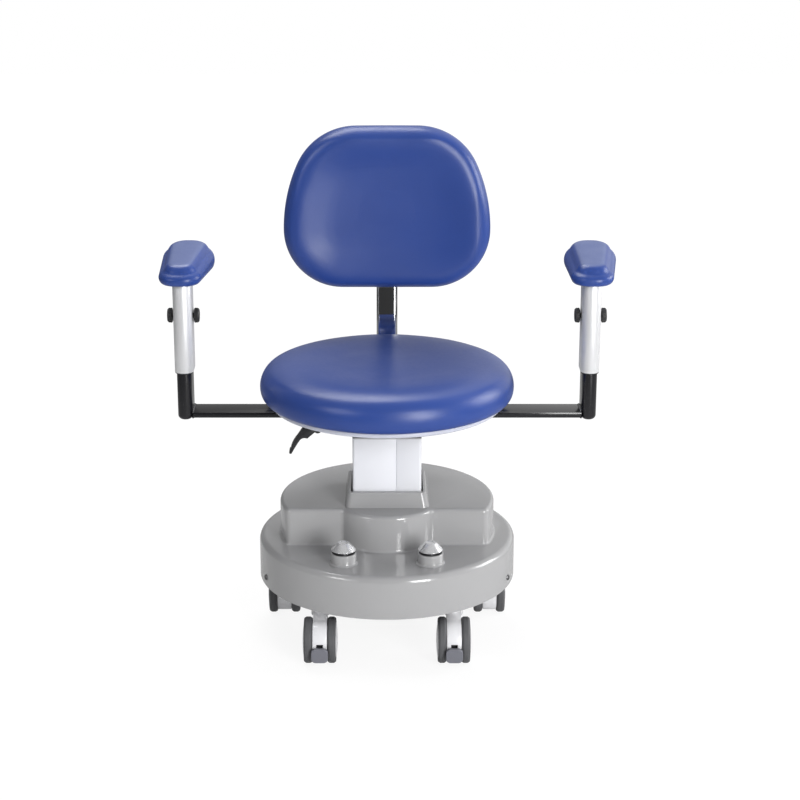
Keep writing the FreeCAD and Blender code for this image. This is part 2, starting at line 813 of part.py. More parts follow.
def make_column():
    """The fixed outer column, its glide, the rising inner column and its head plate."""
    outer = keep(new_body("column_outer"))
    pad(outer, "XY", tube_loops(dim.column_width, dim.column_depth, dim.column_round, dim.column_wall),
        dim.column_top - plate_top, plate_top)
    cut(outer, "XY", [rectangle(dim.seam_width, 2 * dim.seam_depth, dim.seam_across, -dim.column_depth / 2)],
        dim.column_top - plate_top, plate_top)
    glide = keep(new_body("column_glide"))
    bore_width = inner_width + 2 * dim.slide_gap
    bore_depth = inner_depth + 2 * dim.slide_gap
    hole = rounded(bore_width, bore_depth, dim.column_round / 2)
    fit = 2 * (dim.column_wall + dim.pin_gap)
    corner = dim.column_round - dim.column_wall / 2
    pad(glide, "XY", [rounded(dim.column_width - fit, dim.column_depth - fit, corner), hole],
        dim.glide_height, dim.column_top - dim.glide_height)
    pad(glide, "XY", [rounded(dim.column_width, dim.column_depth, dim.column_round), hole], dim.glide_lip,
        dim.column_top)
    inner = keep(new_body("column_inner"))
    pad(inner, "XY", tube_loops(inner_width, inner_depth, dim.column_round / 2, dim.column_wall / 2),
        inner_top - plate_top - dim.inner_start, plate_top + dim.inner_start)
    head = keep(new_body("column_head"))
    pad(head, "XY", [rounded(inner_width + 2 * dim.head_margin, inner_depth + 2 * dim.head_margin,
                             2 * dim.column_round)], dim.head_thick, inner_top)
    pad(head, "XY", [Circle(0, 0, dim.ring_radius - 4)], dim.ring_thick, head_top)
    pad(head, "XY", [Circle(0, 0, dim.spigot_radius)], 2 * dim.ring_thick + dim.frame_plate - 2, head_top)


def make_drive():
    """The electric push rod inside the column, and the boxes beside it."""
    tube_across = -dim.drive_radius
    motor_across = dim.motor_radius + 1
    base = plate_top + dim.gear_height
    tube_top = dim.column_top - dim.drive_top
    gear = block("gear_case", (-dim.gear_half, -dim.gear_deep, plate_top),
                 (dim.gear_half, dim.gear_deep, base))
    tube = rod("push_tube", dim.drive_radius, tube_top - base + 1, tube_across, 0, base - 1)
    motor = rod("motor", dim.motor_radius, dim.motor_height + 1, motor_across, 0, base - 1)
    bore = rod("push_bore", dim.rod_radius + dim.slide_gap, tube_top - base, tube_across, 0, base)
    keep(bored("actuator_body", joined("actuator_case", [gear, tube, motor]), [bore]))
    keep(rod("actuator_rod", dim.rod_radius, inner_top - base - 4, tube_across, 0, base + 4))
    boxes = (("control_box", -1, dim.control_height), ("power_supply", 1, dim.supply_height))
    for label, side, height in boxes:
        centre = side * dim.box_across
        low = (centre - dim.box_width / 2, dim.box_back - dim.box_depth / 2, plate_top)
        high = (centre + dim.box_width / 2, dim.box_back + dim.box_depth / 2, plate_top + height)
        keep(block(label, low, high))


def make_inlet():
    """The mains inlet in its recess at the back of the skirt."""
    body = keep(new_body("power_inlet"))
    middle = (0, dim.inlet_height)
    flange = rounded(dim.inlet_width + 2 * dim.inlet_rim, dim.inlet_tall + dim.inlet_rim, 4, *middle)
    pad(body, "XZ", [flange], dim.inlet_flange, -(inlet_face + dim.inlet_flange))
    pad(body, "XZ", [rectangle(dim.inlet_width, dim.inlet_tall, *middle)], dim.inlet_depth, -inlet_face)
    socket = rectangle(dim.inlet_width - 2 * dim.inlet_wall, dim.inlet_tall - 2 * dim.inlet_wall, *middle)
    cut(body, "XZ", [socket], dim.inlet_socket + dim.inlet_flange, -(inlet_face + dim.inlet_flange))


def make_button_bezels():
    """Moulded bezels with a flared foot, standing on the deck under the foot buttons."""
    bezels = []
    bore = dim.button_stem + dim.slide_gap
    foot = dim.boss_radius + dim.boss_flare
    toe = dim.deck_top + 1
    bend = dim.boss_flare * (1 - DIAGONAL)
    bite = dim.boss_flare / 2
    for side, sign in SIDES.items():
        body = new_body(f"button_bezel_{side}", sign * dim.button_across, -button_forward)
        revolve(body, "XZ", [[
            (bore, dim.deck_top), (foot, dim.deck_top), (foot, toe),
            Via((dim.boss_radius + bend, toe + bend)), (dim.boss_radius, toe + dim.boss_flare),
            (dim.boss_radius, boss_top - bite),
            (dim.boss_radius - bite, boss_top), (bore, boss_top)]])
        bezels.append(body)
    group("button_bezels", bezels)


def make_foot_buttons():
    """Chrome foot buttons on stems through the bezels, and the switches below them."""
    switches = []
    rest = boss_top + dim.button_travel
    top = rest + dim.button_height
    stem_end = dim.deck_top - 12
    roof = dim.deck_top - dim.cover_wall - dim.slide_gap
    half = dim.switch_side / 2
    for side, sign in SIDES.items():
        spot = (sign * dim.button_across, -button_forward)
        body = keep(new_body(f"foot_button_{side}", *spot))
        edge = rest + 1
        revolve(body, "XZ", [[
            (0, stem_end), (dim.button_stem, stem_end), (dim.button_stem, rest), (dim.button_radius, rest),
            (dim.button_radius, edge), (dim.button_top_radius, top), (0, top)]])
        case = block(f"switch_case_{side}", (spot[0] - half, spot[1] - half, roof - dim.switch_height),
                     (spot[0] + half, spot[1] + half, roof))
        well = rod(f"switch_well_{side}", dim.button_stem + dim.slide_gap, dim.switch_height,
                   *spot, stem_end - dim.button_travel - 1)
        switches.append(bored(f"foot_switch_{side}", case, [well]))
    group("foot_switches", switches)


def make_seat_frame():
    """Swivel ring and folded steel frame with lips under the pan, and a stub pin for the lever."""
    ring = keep(new_body("swivel_ring"))
    pad(ring, "XY", [Circle(0, 0, dim.ring_radius), Circle(0, 0, dim.spigot_radius + dim.slide_gap)],
        frame_bottom - ring_bottom, ring_bottom)
    body = keep(new_body("seat_frame"))
    half = dim.frame_depth / 2
    plate = dim.frame_plate
    pad(body, "XY", [rectangle(dim.frame_width, dim.frame_depth), Circle(0, 0, dim.spigot_radius + 1)],
        plate, frame_bottom)
    for sign in (-1, 1):
        wall = sign * (half - plate / 2)
        lip = sign * (half + dim.frame_lip / 2 - plate / 2)
        pad(body, "XY", [rectangle(dim.frame_width, plate, 0, wall)], dim.frame_height, frame_bottom)
        pad(body, "XY", [rectangle(dim.frame_width, dim.frame_lip + plate, 0, lip)], dim.frame_lip_thick,
            pan_bottom - dim.frame_lip_thick)
    ear_back = dim.lever_forward - dim.lever_thick / 2 - dim.slide_gap
    ear_root = 2 - dim.frame_width / 2
    ear = [(ear_root, lever_height - dim.lever_eye), (ear_root, frame_bottom + plate),
           (-lever_across, lever_height + dim.lever_eye), Via((-(lever_across + dim.lever_eye), lever_height)),
           (-lever_across, lever_height - dim.lever_eye)]
    pad(body, "XZ", [ear], plate, ear_back - plate)
    pad(body, "XZ", [Circle(-lever_across, lever_height, dim.lever_pin)], dim.lever_thick + plate,
        ear_back - plate)
    cut(body, "XY", [Circle(*spot, dim.bolt_radius + dim.pin_gap) for spot in lip_bolts()],
        dim.frame_lip_thick, pan_bottom - dim.frame_lip_thick)
    cut(body, "XY", [Circle(*spot, dim.bolt_radius + dim.pin_gap) for spot in bar_bolts()], plate,
        frame_bottom)


def lip_bolts():
    """Places of the bolts from the frame's lips into the seat board."""
    across = dim.frame_width / 2 - 25
    along = dim.frame_depth / 2 + dim.frame_lip / 2
    return [(side * across, end * along) for side in (-1, 1) for end in (-1, 1)]


def bar_bolts():
    """Places of the bolts that hold the arm bars on the frame."""
    across = dim.frame_width / 2 - 20
    along = dim.bar_width / 4
    return [(side * across, end * along) for side in (-1, 1) for end in (-1, 1)]


def make_seat_bolts():
    """Bolts under the seat."""
    bolts = []
    lip = pan_bottom - dim.frame_lip_thick
    runs = [(spot, lip, board_bottom + dim.board_thick - 2) for spot in lip_bolts()]
    runs += [(spot, frame_bottom, bar_bottom + dim.bar_thick) for spot in bar_bolts()]
    for number, (spot, under, top) in enumerate(runs, 1):
        head = rod(f"bolt_head_{number}", dim.bolt_head, dim.bolt_head_height, *spot,
                   under - dim.bolt_head_height)
        shank = rod(f"bolt_shank_{number}", dim.bolt_radius, top - under + 1, *spot, under - 1)
        bolts.append(joined(f"seat_bolt_{number}", [head, shank]))
    group("seat_bolts", bolts)


def make_seat():
    """Pan, board and the soft round cushion."""
    holes = [Circle(*spot, dim.bolt_radius + dim.pin_gap) for spot in lip_bolts()]
    pan = keep(new_body("seat_pan"))
    floor = pan_bottom + dim.pan_wall
    inside = pan_radius - dim.pan_wall
    rim = cushion_bottom - dim.slide_gap
    bend = dim.pan_wall * (1 - DIAGONAL)
    revolve(pan, "XZ", [[(0, pan_bottom), (inside, pan_bottom), Via((pan_radius - bend, pan_bottom + bend)),
                         (pan_radius, floor), (pan_radius, rim), (inside, rim), (inside, floor), (0, floor)]])
    cut(pan, "XY", holes, dim.pan_wall, pan_bottom)
    board = keep(new_body("seat_board"))
    board_radius = inside - dim.slide_gap
    pad(board, "XY", [Circle(0, 0, board_radius)], dim.board_thick, board_bottom)
    cut(board, "XY", holes, dim.board_thick, board_bottom)
    cushion = keep(new_body("seat_cushion"))
    recess = board_radius + dim.slide_gap
    roof = board_bottom + dim.board_thick + dim.slide_gap
    waist = cushion_bottom + dim.seat_waist
    crest = cushion_bottom + dim.seat_thick
    tuck = (dim.seat_radius - pan_radius) * DIAGONAL
    shoulder = dim.seat_radius - dim.seat_crest
    rise = crest - waist
    revolve(cushion, "XZ", [[
        (0, roof), (recess, roof), (recess, cushion_bottom), (pan_radius, cushion_bottom),
        Via((pan_radius + tuck, cushion_bottom + dim.seat_waist * (1 - DIAGONAL))), (dim.seat_radius, waist),
        Via((dim.seat_radius - shoulder * 0.16, waist + rise * 0.62)),
        (dim.seat_radius - shoulder * 0.42, waist + rise * 0.9),
        Via((dim.seat_radius - shoulder * 0.7, waist + rise * 0.985)), (dim.seat_crest, crest),
        Via((dim.seat_crest * 0.6, crest - dim.seat_dish * 0.6)), (dim.seat_hollow, crest - dim.seat_dish),
        (0, crest - dim.seat_dish)]])


def make_arm(side, sign):
    """One armrest: bar, post, sleeve, clamp and pad."""
    across = sign * dim.arm_across
    bar = keep(new_body(f"arm_bar_{side}"))
    length = bar_end - dim.bar_start
    pad(bar, "XY", [rectangle(length, dim.bar_width, sign * (dim.bar_start + length / 2))], dim.bar_thick,
        bar_bottom)
    cut(bar, "XY", [Circle(*spot, dim.bolt_radius + dim.pin_gap) for spot in bar_bolts()
                    if spot[0].value * sign > 0], dim.bar_thick, bar_bottom)
    travel = dim.arm_travel + dim.clamp_radius + dim.slide_gap
    post_top = clamp_height + travel + 4
    post = keep(new_body(f"arm_post_{side}", across))
    pad(post, "XY", [flat_oval(dim.post_width, dim.post_depth)], post_top - post_bottom, post_bottom)
    round_edges(post, dim.post_round, lies_at("Z", post_bottom))
    cut(post, "XY", [flat_oval(dim.post_width - 2 * dim.post_wall, dim.post_depth - 2 * dim.post_wall)],
        post_top - post_bottom - 6, post_bottom + 6)
    cut(post, "YZ", [rectangle(2 * (dim.clamp_radius + dim.slide_gap), 2 * travel, 0, clamp_height)],
        2 * dim.post_width, middle=True)
    sleeve = keep(new_body(f"arm_sleeve_{side}", across))
    bore_width = dim.post_width + 2 * dim.slide_gap
    bore_depth = dim.post_depth + 2 * dim.slide_gap
    sleeve_width = bore_width + 2 * dim.sleeve_wall
    pad(sleeve, "XY", [flat_oval(sleeve_width, bore_depth + 2 * dim.sleeve_wall)], dim.sleeve_length,
        sleeve_bottom)
    cut(sleeve, "XY", [flat_oval(bore_width, bore_depth)], dim.sleeve_length - dim.sleeve_cap, sleeve_bottom)
    cut(sleeve, "XY", [Circle(0, 0, dim.pivot_radius + dim.pin_gap)], dim.sleeve_cap,
        sleeve_top - dim.sleeve_cap)
    cut(sleeve, "YZ", [Circle(0, clamp_height, dim.clamp_radius + dim.pin_gap)], 2 * sleeve_width,
        middle=True)
    make_clamp(side, across, sleeve_width / 2)
    make_arm_pad(side, across, -dim.pad_yaw)


def make_clamp(side, across, half):
    """The through-bolt that squeezes the sleeve, with a knob on each end."""
    end = half + dim.knob_standoff + dim.knob_thick
    pieces = [rod(f"clamp_bolt_{side}", dim.clamp_radius, 2 * (end - 3), across - end + 3, 0, clamp_height,
                  (1, 0, 0))]
    for sign in (-1, 1):
        body = new_body(f"clamp_knob_{side}_{'out' if sign > 0 else 'in'}", across, 0, clamp_height)
        start = half + dim.slide_gap
        face = half + dim.knob_standoff
        bore = dim.clamp_radius + 0.02
        rim = dim.knob_radius - 2
        profile = [(start, bore), (start, bore + 2.5), (face, bore + 2.5), (face, rim),
                   Via((face + 0.6, dim.knob_radius - 0.6)), (face + 2, dim.knob_radius),
                   (end - 2, dim.knob_radius), Via((end - 0.6, dim.knob_radius - 0.6)), (end, rim), (end, 0),
                   (end - 3, 0), (end - 3, bore)]
        revolve(body, "XZ", [[type(point)((sign * point[0], point[1])) for point in profile]], axis="H_Axis")
        pieces.append(body)
    group(f"arm_clamp_{side}", pieces)


def pad_loop(inset):
    """Outline of an arm pad: round ends with a short flat, narrower in front, set back from the post."""
    blunt = dim.pad_blunt
    rear = dim.pad_rear_width / 2 - inset
    front = dim.pad_front_width / 2 - inset
    tail = dim.pad_back + dim.pad_length / 2 - inset
    nose = dim.pad_back - dim.pad_length / 2 + inset
    bend, turn = front - blunt, rear - blunt
    half = [
        (blunt, nose), Via((blunt + bend * DIAGONAL, nose + bend * (1 - DIAGONAL))), (front, nose + bend),
        (rear, tail - turn), Via((blunt + turn * DIAGONAL, tail - turn * (1 - DIAGONAL))), (blunt, tail),
    ]
    return half + [type(point)((-point[0], point[1])) for point in reversed(half)]


def make_arm_pad(side, across, yaw):
    """A moulded pad on a steel plate that turns in the sleeve's cap."""
    plate = keep(new_body(f"arm_pad_plate_{side}", across, 0, 0, yaw))
    plate_bottom = sleeve_top + dim.slide_gap
    pad(plate, "XY", [flat_oval(dim.pad_plate_width, dim.pad_plate_length, 0, dim.pad_back)],
        dim.pad_plate_thick, plate_bottom)
    pad(plate, "XY", [Circle(0, 0, dim.pivot_radius)], dim.sleeve_cap + 1, plate_bottom - dim.sleeve_cap)
    cushion = keep(new_body(f"arm_pad_{side}", across, 0, 0, yaw))
    shelf = pad_bottom + dim.pad_thick - dim.pad_step
    skirt = ((0, dim.pad_tuck), (0.25, dim.pad_tuck * 0.2), (0.55, 0), (0.8, dim.pad_bevel * 0.16),
             (0.94, dim.pad_bevel * 0.55), (1, dim.pad_bevel))
    crown = ((-0.2, dim.pad_bevel * 0.86), (0.5, dim.pad_bevel * 0.95), (0.84, dim.pad_bevel * 1.15),
             (1, dim.pad_bevel * 1.6))
    depth = shelf - pad_bottom
    lean = dim.pad_slope
    loft(cushion, "XY", [(pad_bottom + depth * share, pad_loop(inset), lean * share) for share, inset in skirt])
    loft(cushion, "XY", [(shelf + dim.pad_step * share, pad_loop(inset), lean) for share, inset in crown])
    recess = plate_bottom + dim.pad_plate_thick + 0.2 - pad_bottom
    cut(cushion, "XY", [flat_oval(dim.pad_plate_width + 1, dim.pad_plate_length + 1, 0, dim.pad_back)], recess,
        pad_bottom)


def make_lever():
    """The hand lever under the seat's left side, curving down to its tip."""
    body = keep(new_body("tilt_lever"))
    across, height = -lever_across, lever_height
    eye, out, down = dim.lever_eye, dim.lever_reach, dim.lever_fall
    loop = [
        (across, height + eye), Via((across + eye, height)), (across - eye * DIAGONAL, height - eye * DIAGONAL),
        (across - out * 0.38, height - down * 0.36), Via((across - out * 0.5, height - down * 0.34)),
        (across - out * 0.65, height - down * 0.43), Via((across - out * 0.79, height - down * 0.66)),
        (across - out * 0.94, height - down * 0.94), Via((across - out * 0.985, height - down * 0.97)),
        (across - out, height - down * 0.86), Via((across - out * 0.91, height - down * 0.59)),
        (across - out * 0.765, height - down * 0.36), (across - out * 0.53, height),
    ]
    pad(body, "XZ", [loop], dim.lever_thick, dim.lever_forward - dim.lever_thick / 2)
    cut(body, "XZ", [Circle(across, height, dim.lever_pin + dim.pin_gap)], dim.lever_thick,
        dim.lever_forward - dim.lever_thick / 2)


def make_back_hinge():
    """Bracket behind the seat frame and the pin that the back bar turns on."""
    body = keep(new_body("back_hinge_bracket"))
    wall = dim.bracket_wall
    start = dim.frame_depth / 2
    half = dim.back_bar_width / 2 + dim.slide_gap + wall
    top = pan_bottom - dim.frame_lip_thick - 0.2
    low = hinge_height - dim.hinge_eye
    reach_back = hinge_back + dim.hinge_eye
    pad(body, "XY", [rectangle(2 * half, wall, 0, start + wall / 2)], top - low, low)
    for sign in (-1, 1):
        cheek = rectangle(wall, reach_back - start, sign * (half - wall / 2), (reach_back + start) / 2)
        pad(body, "XY", [cheek], top - low, low)
    cut(body, "YZ", [Circle(hinge_back, hinge_height, dim.hinge_pin + 0.02)], 3 * half, middle=True)
    keep(rod("back_hinge_pin", dim.hinge_pin, 2 * half + 4, -half - 2, hinge_back, hinge_height, (1, 0, 0)))


def make_back_bar():
    """The chrome bar: back from its hinge, up in one bend and straight to the slider."""
    body = keep(new_body("back_bar"))
    bend = dim.back_bar_bend
    corner = back_bar_offset - bend
    path = new_sketch(body, "YZ", [[
        (hinge_back + dim.hinge_eye / 2, hinge_height), (corner, hinge_height),
        Via((corner + bend * DIAGONAL, hinge_height + bend * (1 - DIAGONAL))),
        (back_bar_offset, hinge_height + bend), (back_bar_offset, dim.back_bar_top)]], closed=False)
    half, deep = dim.back_bar_width / 2, dim.back_bar_thick / 2
    section = new_sketch(body, "XZ", [[
        (-half + deep, hinge_height - deep), (half - deep, hinge_height - deep), Via((half, hinge_height)),
        (half - deep, hinge_height + deep), (-half + deep, hinge_height + deep), Via((-half, hinge_height))]],
        -(hinge_back + dim.hinge_eye / 2))
    pipe = body.newObject("PartDesign::AdditivePipe", "back_bar_pipe")
    pipe.Profile = section
    pipe.Spine = path
    doc.recompute()
    pad(body, "YZ", [Circle(hinge_back, hinge_height, dim.hinge_eye)],
        dim.back_bar_width - 2 * dim.hinge_shoulder, middle=True)
    cut(body, "YZ", [Circle(hinge_back, hinge_height, dim.hinge_pin + dim.pin_gap)], 2 * dim.back_bar_width,
        middle=True)


def back_loop(inset):
    """Outline of the backrest in X and Z: tangent arcs, narrower at the top, drawn in by the inset."""
    foot, side = dim.back_foot_bend, dim.back_side_bend
    foot_centre = (dim.back_width / 2 - foot, dim.back_bottom + foot)
    side_centre = dim.back_width / 2 - side
    slope = (dim.back_shoulder_rise - foot) / side
    level = root(1 - slope * slope)
    brow = (dim.back_height - dim.back_shoulder_rise) / (1 - slope)
    brow_centre = (side_centre + (side - brow) * level, dim.back_bottom + dim.back_height - brow)
    foot, side, brow = foot - inset, side - inset, brow - inset
    half_slope = slope / 2
    half = [
        (foot_centre[0], foot_centre[1] - foot),
        Via((foot_centre[0] + foot * DIAGONAL, foot_centre[1] - foot * DIAGONAL)),
        (foot_centre[0] + foot, foot_centre[1]),
        Via((side_centre + side * root(1 - half_slope * half_slope), foot_centre[1] + side * half_slope)),
        (side_centre + side * level, foot_centre[1] + side * slope),
        Via((brow_centre[0] + brow * DIAGONAL, brow_centre[1] + brow * DIAGONAL)),
        (brow_centre[0], brow_centre[1] + brow),
    ]
    return half + [type(point)((-point[0], point[1])) for point in reversed(half)]


def make_backrest():
    """Cushion, shell, slider on the bar, screws and the clamping knob."""
    cushion = keep(new_body("back_cushion"))
    thick = dim.back_cushion_thick
    levels = ((0, 6), (0.2, 1), (0.45, 0), (0.7, 4), (0.88, 11), (1, 26))
    loft(cushion, "XZ", [(thick * share - cushion_back, back_loop(inset)) for share, inset in levels])
    face = thick - cushion_back
    dish = ((face + 0.01, dim.back_border), (face - dim.back_dish, dim.back_border + 4 * dim.back_dish))
    loft(cushion, "XZ", [(offset, back_loop(inset)) for offset, inset in dish], kind="Subtractive")
    shell = keep(new_body("back_shell"))
    pad(shell, "XZ", [back_loop(dim.back_shell_inset)], dim.back_shell_thick, -shell_back)
    round_edges(shell, dim.back_shell_thick / 2, lies_at("Y", shell_back))
    slider = keep(new_body("back_slider"))
    slider_back = back_bar_offset + dim.back_bar_thick / 2 + dim.slide_gap + dim.slider_wall
    middle = (shell_back + slider_back) / 2
    half = dim.back_bar_width / 2 + dim.slide_gap
    deep = dim.back_bar_thick / 2 + dim.slide_gap
    centre = back_bar_offset
    pad(slider, "XY", [rounded(dim.slider_width, slider_back - shell_back, 6, 0, middle)], dim.slider_height,
        slider_bottom)
    cut(slider, "XY", [[(-half + deep, centre - deep), (half - deep, centre - deep), Via((half, centre)),
                        (half - deep, centre + deep), (-half + deep, centre + deep), Via((-half, centre))]],
        dim.slider_height, slider_bottom)
    stud_height = slider_bottom + dim.slider_height / 2
    cut(slider, "XZ", [Circle(0, stud_height, dim.back_stud + dim.pin_gap)], dim.slider_wall + 1,
        -(slider_back + 0.5))
    corners = [(side * (dim.slider_width - 10) / 2, stud_height + end * dim.slider_height / 3)
               for side in (-1, 1) for end in (-1, 1)]
    holes = [Circle(*spot, dim.screw_shank + dim.pin_gap) for spot in corners]
    cut(slider, "XZ", holes, slider_back - shell_back, -slider_back)
    cut(shell, "XZ", holes, dim.back_shell_thick, -shell_back)
    screws = []
    for number, spot in enumerate(corners, 1):
        shank = rod(f"back_shank_{number}", dim.screw_shank, slider_back - cushion_back, spot[0],
                    cushion_back + 1, spot[1], (0, 1, 0))
        head = rod(f"back_head_{number}", 1.7 * dim.screw_shank, dim.screw_shank, spot[0], slider_back,
                   spot[1], (0, 1, 0))
        screws.append(joined(f"back_screw_{number}", [shank, head]))
    group("back_screws", screws)
    knob = keep(new_body("back_knob", 0, slider_back, stud_height))
    knob.Placement.Rotation = FreeCAD.Rotation(FreeCAD.Vector(1, 0, 0), -90)
    rim = dim.back_knob_radius
    end = dim.back_knob_thick + 3
    revolve(knob, "XZ", [[
        (0, -dim.slider_wall), (dim.back_stud, -dim.slider_wall), (dim.back_stud, dim.slide_gap),
        (9, dim.slide_gap), (9, 3), (rim - 2, 3), Via((rim - 0.6, 3.6)), (rim, 5), (rim, end - 4),
        Via((rim - 1.2, end - 1.2)), (rim - 4, end), (0, end)]])


make_base_cover()
make_base_plate()
make_cover_screws()
make_castor_stems()
for castor, bearing in enumerate(CASTOR_ANGLES, 1):
    make_fork(castor, bearing)
    make_wheels(castor, bearing)
    if castor in BRAKED:
        make_pedal(castor, bearing)
make_column()
make_drive()
make_inlet()
make_button_bezels()
make_foot_buttons()
make_seat_frame()
make_seat_bolts()
make_seat()
for arm_side, arm_sign in SIDES.items():
    make_arm(arm_side, arm_sign)
make_lever()
make_back_hinge()
make_back_bar()
make_backrest()
doc.recompute()

for item in doc.Objects:
    if "Invalid" in item.State or "Error" in item.State:
        raise RuntimeError(f"{item.Label} did not build: {item.State}")
for node in nodes:
    if node.Shape.isNull() or not node.Shape.isValid() or not node.Shape.Solids:
        raise RuntimeError(f"{node.Label} has no valid solid")
os.makedirs("parts", exist_ok=True)
for node in nodes:
    node.Shape.exportStep(f"parts/{node.Label}.step")
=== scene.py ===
"""Looks of the electric examination chair: upholstery, castors, controls, finishes and studio."""

import json
import math

import bmesh
import bpy
import numpy as np
from mathutils import Matrix, Vector


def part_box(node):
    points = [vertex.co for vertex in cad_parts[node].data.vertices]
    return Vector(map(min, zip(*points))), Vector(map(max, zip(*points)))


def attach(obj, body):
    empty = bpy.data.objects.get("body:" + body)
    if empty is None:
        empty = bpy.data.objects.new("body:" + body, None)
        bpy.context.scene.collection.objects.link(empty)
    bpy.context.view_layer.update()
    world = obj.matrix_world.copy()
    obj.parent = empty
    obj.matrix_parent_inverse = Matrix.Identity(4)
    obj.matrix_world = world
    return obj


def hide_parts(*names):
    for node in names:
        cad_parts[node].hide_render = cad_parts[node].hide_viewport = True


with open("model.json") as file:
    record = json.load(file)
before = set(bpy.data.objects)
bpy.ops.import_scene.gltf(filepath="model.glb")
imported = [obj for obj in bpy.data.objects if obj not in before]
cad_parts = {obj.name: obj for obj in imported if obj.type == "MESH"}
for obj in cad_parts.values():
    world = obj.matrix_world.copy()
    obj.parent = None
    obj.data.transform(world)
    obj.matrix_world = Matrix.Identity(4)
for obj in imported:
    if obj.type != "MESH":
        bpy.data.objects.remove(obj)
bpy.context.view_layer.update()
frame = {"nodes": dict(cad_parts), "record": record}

MM = 0.001
SIDES = {"left": -1, "right": 1}
CASTORS = (1, 2, 3, 4, 5)
BRAKED = (1, 2)
FILL_FRAMES = 20
EVEN_ROUNDS = 40
PAD_PIVOT = 0.310
PAD_SLOPE = math.radians(5.7)
PAD_YAW = math.radians(-3.0)
BUTTON_HEIGHT = 12.0
SKIRT_SCREWS = (-21, 60, 120, 201)
NODES = frame["nodes"]
BODY_OF = {node: body for body, nodes in frame["record"]["behaviour"]["bodies"].items() for node in nodes}
SLOT_OF = {part["node"]: part["material_slot"] for part in frame["record"]["subparts"]}
scene = bpy.context.scene


# Shader expressions

class Wire:
    """An output socket of a node tree that can stand in an expression."""

    def __init__(self, tree, socket):
        self.tree = tree
        self.socket = socket

    def join(self, value, socket):
        """Feed a socket with a link or with a plain value."""
        if isinstance(value, Wire):
            self.tree.links.new(value.socket, socket)
        else:
            socket.default_value = value

    def node(self, kind, settings=None, inputs=None, output=0):
        """Add any other node: its settings first, then the values or links of its sockets."""
        made = self.tree.nodes.new(kind)
        for name, value in (settings or {}).items():
            setattr(made, name, value)
        for name, value in (inputs or {}).items():
            self.join(value, made.inputs[name])
        return Wire(self.tree, made.outputs[output])

    def calc(self, operation, *values):
        """A Math node on this and other values."""
        return self.node("ShaderNodeMath", {"operation": operation}, dict(enumerate(values)))

    def __add__(self, other):
        return self.calc("ADD", self, other)

    def __sub__(self, other):
        return self.calc("SUBTRACT", self, other)

    def __rsub__(self, other):
        return self.calc("SUBTRACT", other, self)

    def __mul__(self, other):
        return self.calc("MULTIPLY", self, other)

    __radd__ = __add__
    __rmul__ = __mul__


def noise(place, scale, detail=2.0, roughness=0.5):
    return place.node("ShaderNodeTexNoise", {}, {"Vector": place, "Scale": scale, "Detail": detail,
                                                 "Roughness": roughness})


def cells(place, scale, output=0):
    return place.node("ShaderNodeTexVoronoi", {"feature": "F1"}, {"Vector": place, "Scale": scale}, output)


def stretched(place, scale):
    return place.node("ShaderNodeMapping", {}, {"Vector": place, "Scale": scale})


def ramp(value, low, high):
    """From 0 at low to 1 at high, smoothly."""
    return value.node("ShaderNodeMapRange", {"interpolation_type": "SMOOTHSTEP"},
                      {"Value": value, "From Min": low, "From Max": high})


def tint(mask, low, high):
    """A colour between two, by the mask."""
    return mask.node("ShaderNodeMix", {"data_type": "RGBA"},
                     {0: mask, 6: as_colour(low), 7: as_colour(high)}, 2)


def as_colour(value):
    return value if isinstance(value, Wire) else (*value, 1.0)


def relief(height, strength, depth):
    return height.node("ShaderNodeBump", {}, {"Height": height, "Strength": strength, "Distance": depth})


def part_of(place, axis):
    """One coordinate of a place: X, Y or Z."""
    return place.node("ShaderNodeSeparateXYZ", {}, {"Vector": place}, axis)


class Finish:
    """A material whose shader is fed by expressions on the piece's own coordinates."""

    def __init__(self, name, constants):
        self.material = bpy.data.materials.new(name)
        self.material.use_nodes = True
        tree = self.material.node_tree
        self.shader = tree.nodes["Principled BSDF"]
        self.place = Wire(tree, tree.nodes.new("ShaderNodeTexCoord").outputs["Object"])
        self.feed(constants)

    def feed(self, inputs):
        for name, value in inputs.items():
            self.place.join(value, self.shader.inputs[name])
        return self.material


# Finishes

def blue_vinyl():
    """Satin synthetic leather: fine pebbles, faint pulls, slow colour drift and a painted sheen that makes
    upward faces paler.
    """
    finish = Finish("blue_vinyl", {"Specular IOR Level": 0.5})
    place = finish.place
    pebbles = cells(place, 1150.0)
    pulls = noise(place, 170.0, 3.0)
    drift = noise(place, 8.0, 3.0)
    patches = ramp(noise(place, 22.0, 4.0), 0.30, 0.70)
    # painted sheen: the stored attribute tints upward faces pale blue, varied by random patches
    rubbed_and_sheen = place.node("ShaderNodeAttribute", {"attribute_name": "rubbed_and_sheen"}, {}, 2)
    deep = tint(drift, (0.016, 0.047, 0.228), (0.023, 0.061, 0.278))
    grained = tint(pebbles * 0.22, deep, (0.010, 0.027, 0.130))
    return finish.feed({
        "Base Color": tint(rubbed_and_sheen * (0.75 + patches * 0.25), grained, (0.130, 0.170, 0.345)),
        "Roughness": 0.345 + pulls * 0.08 - patches * 0.03,
        "Normal": relief(pebbles * 0.8 + pulls * 0.5, 0.10, 0.0004),
    })


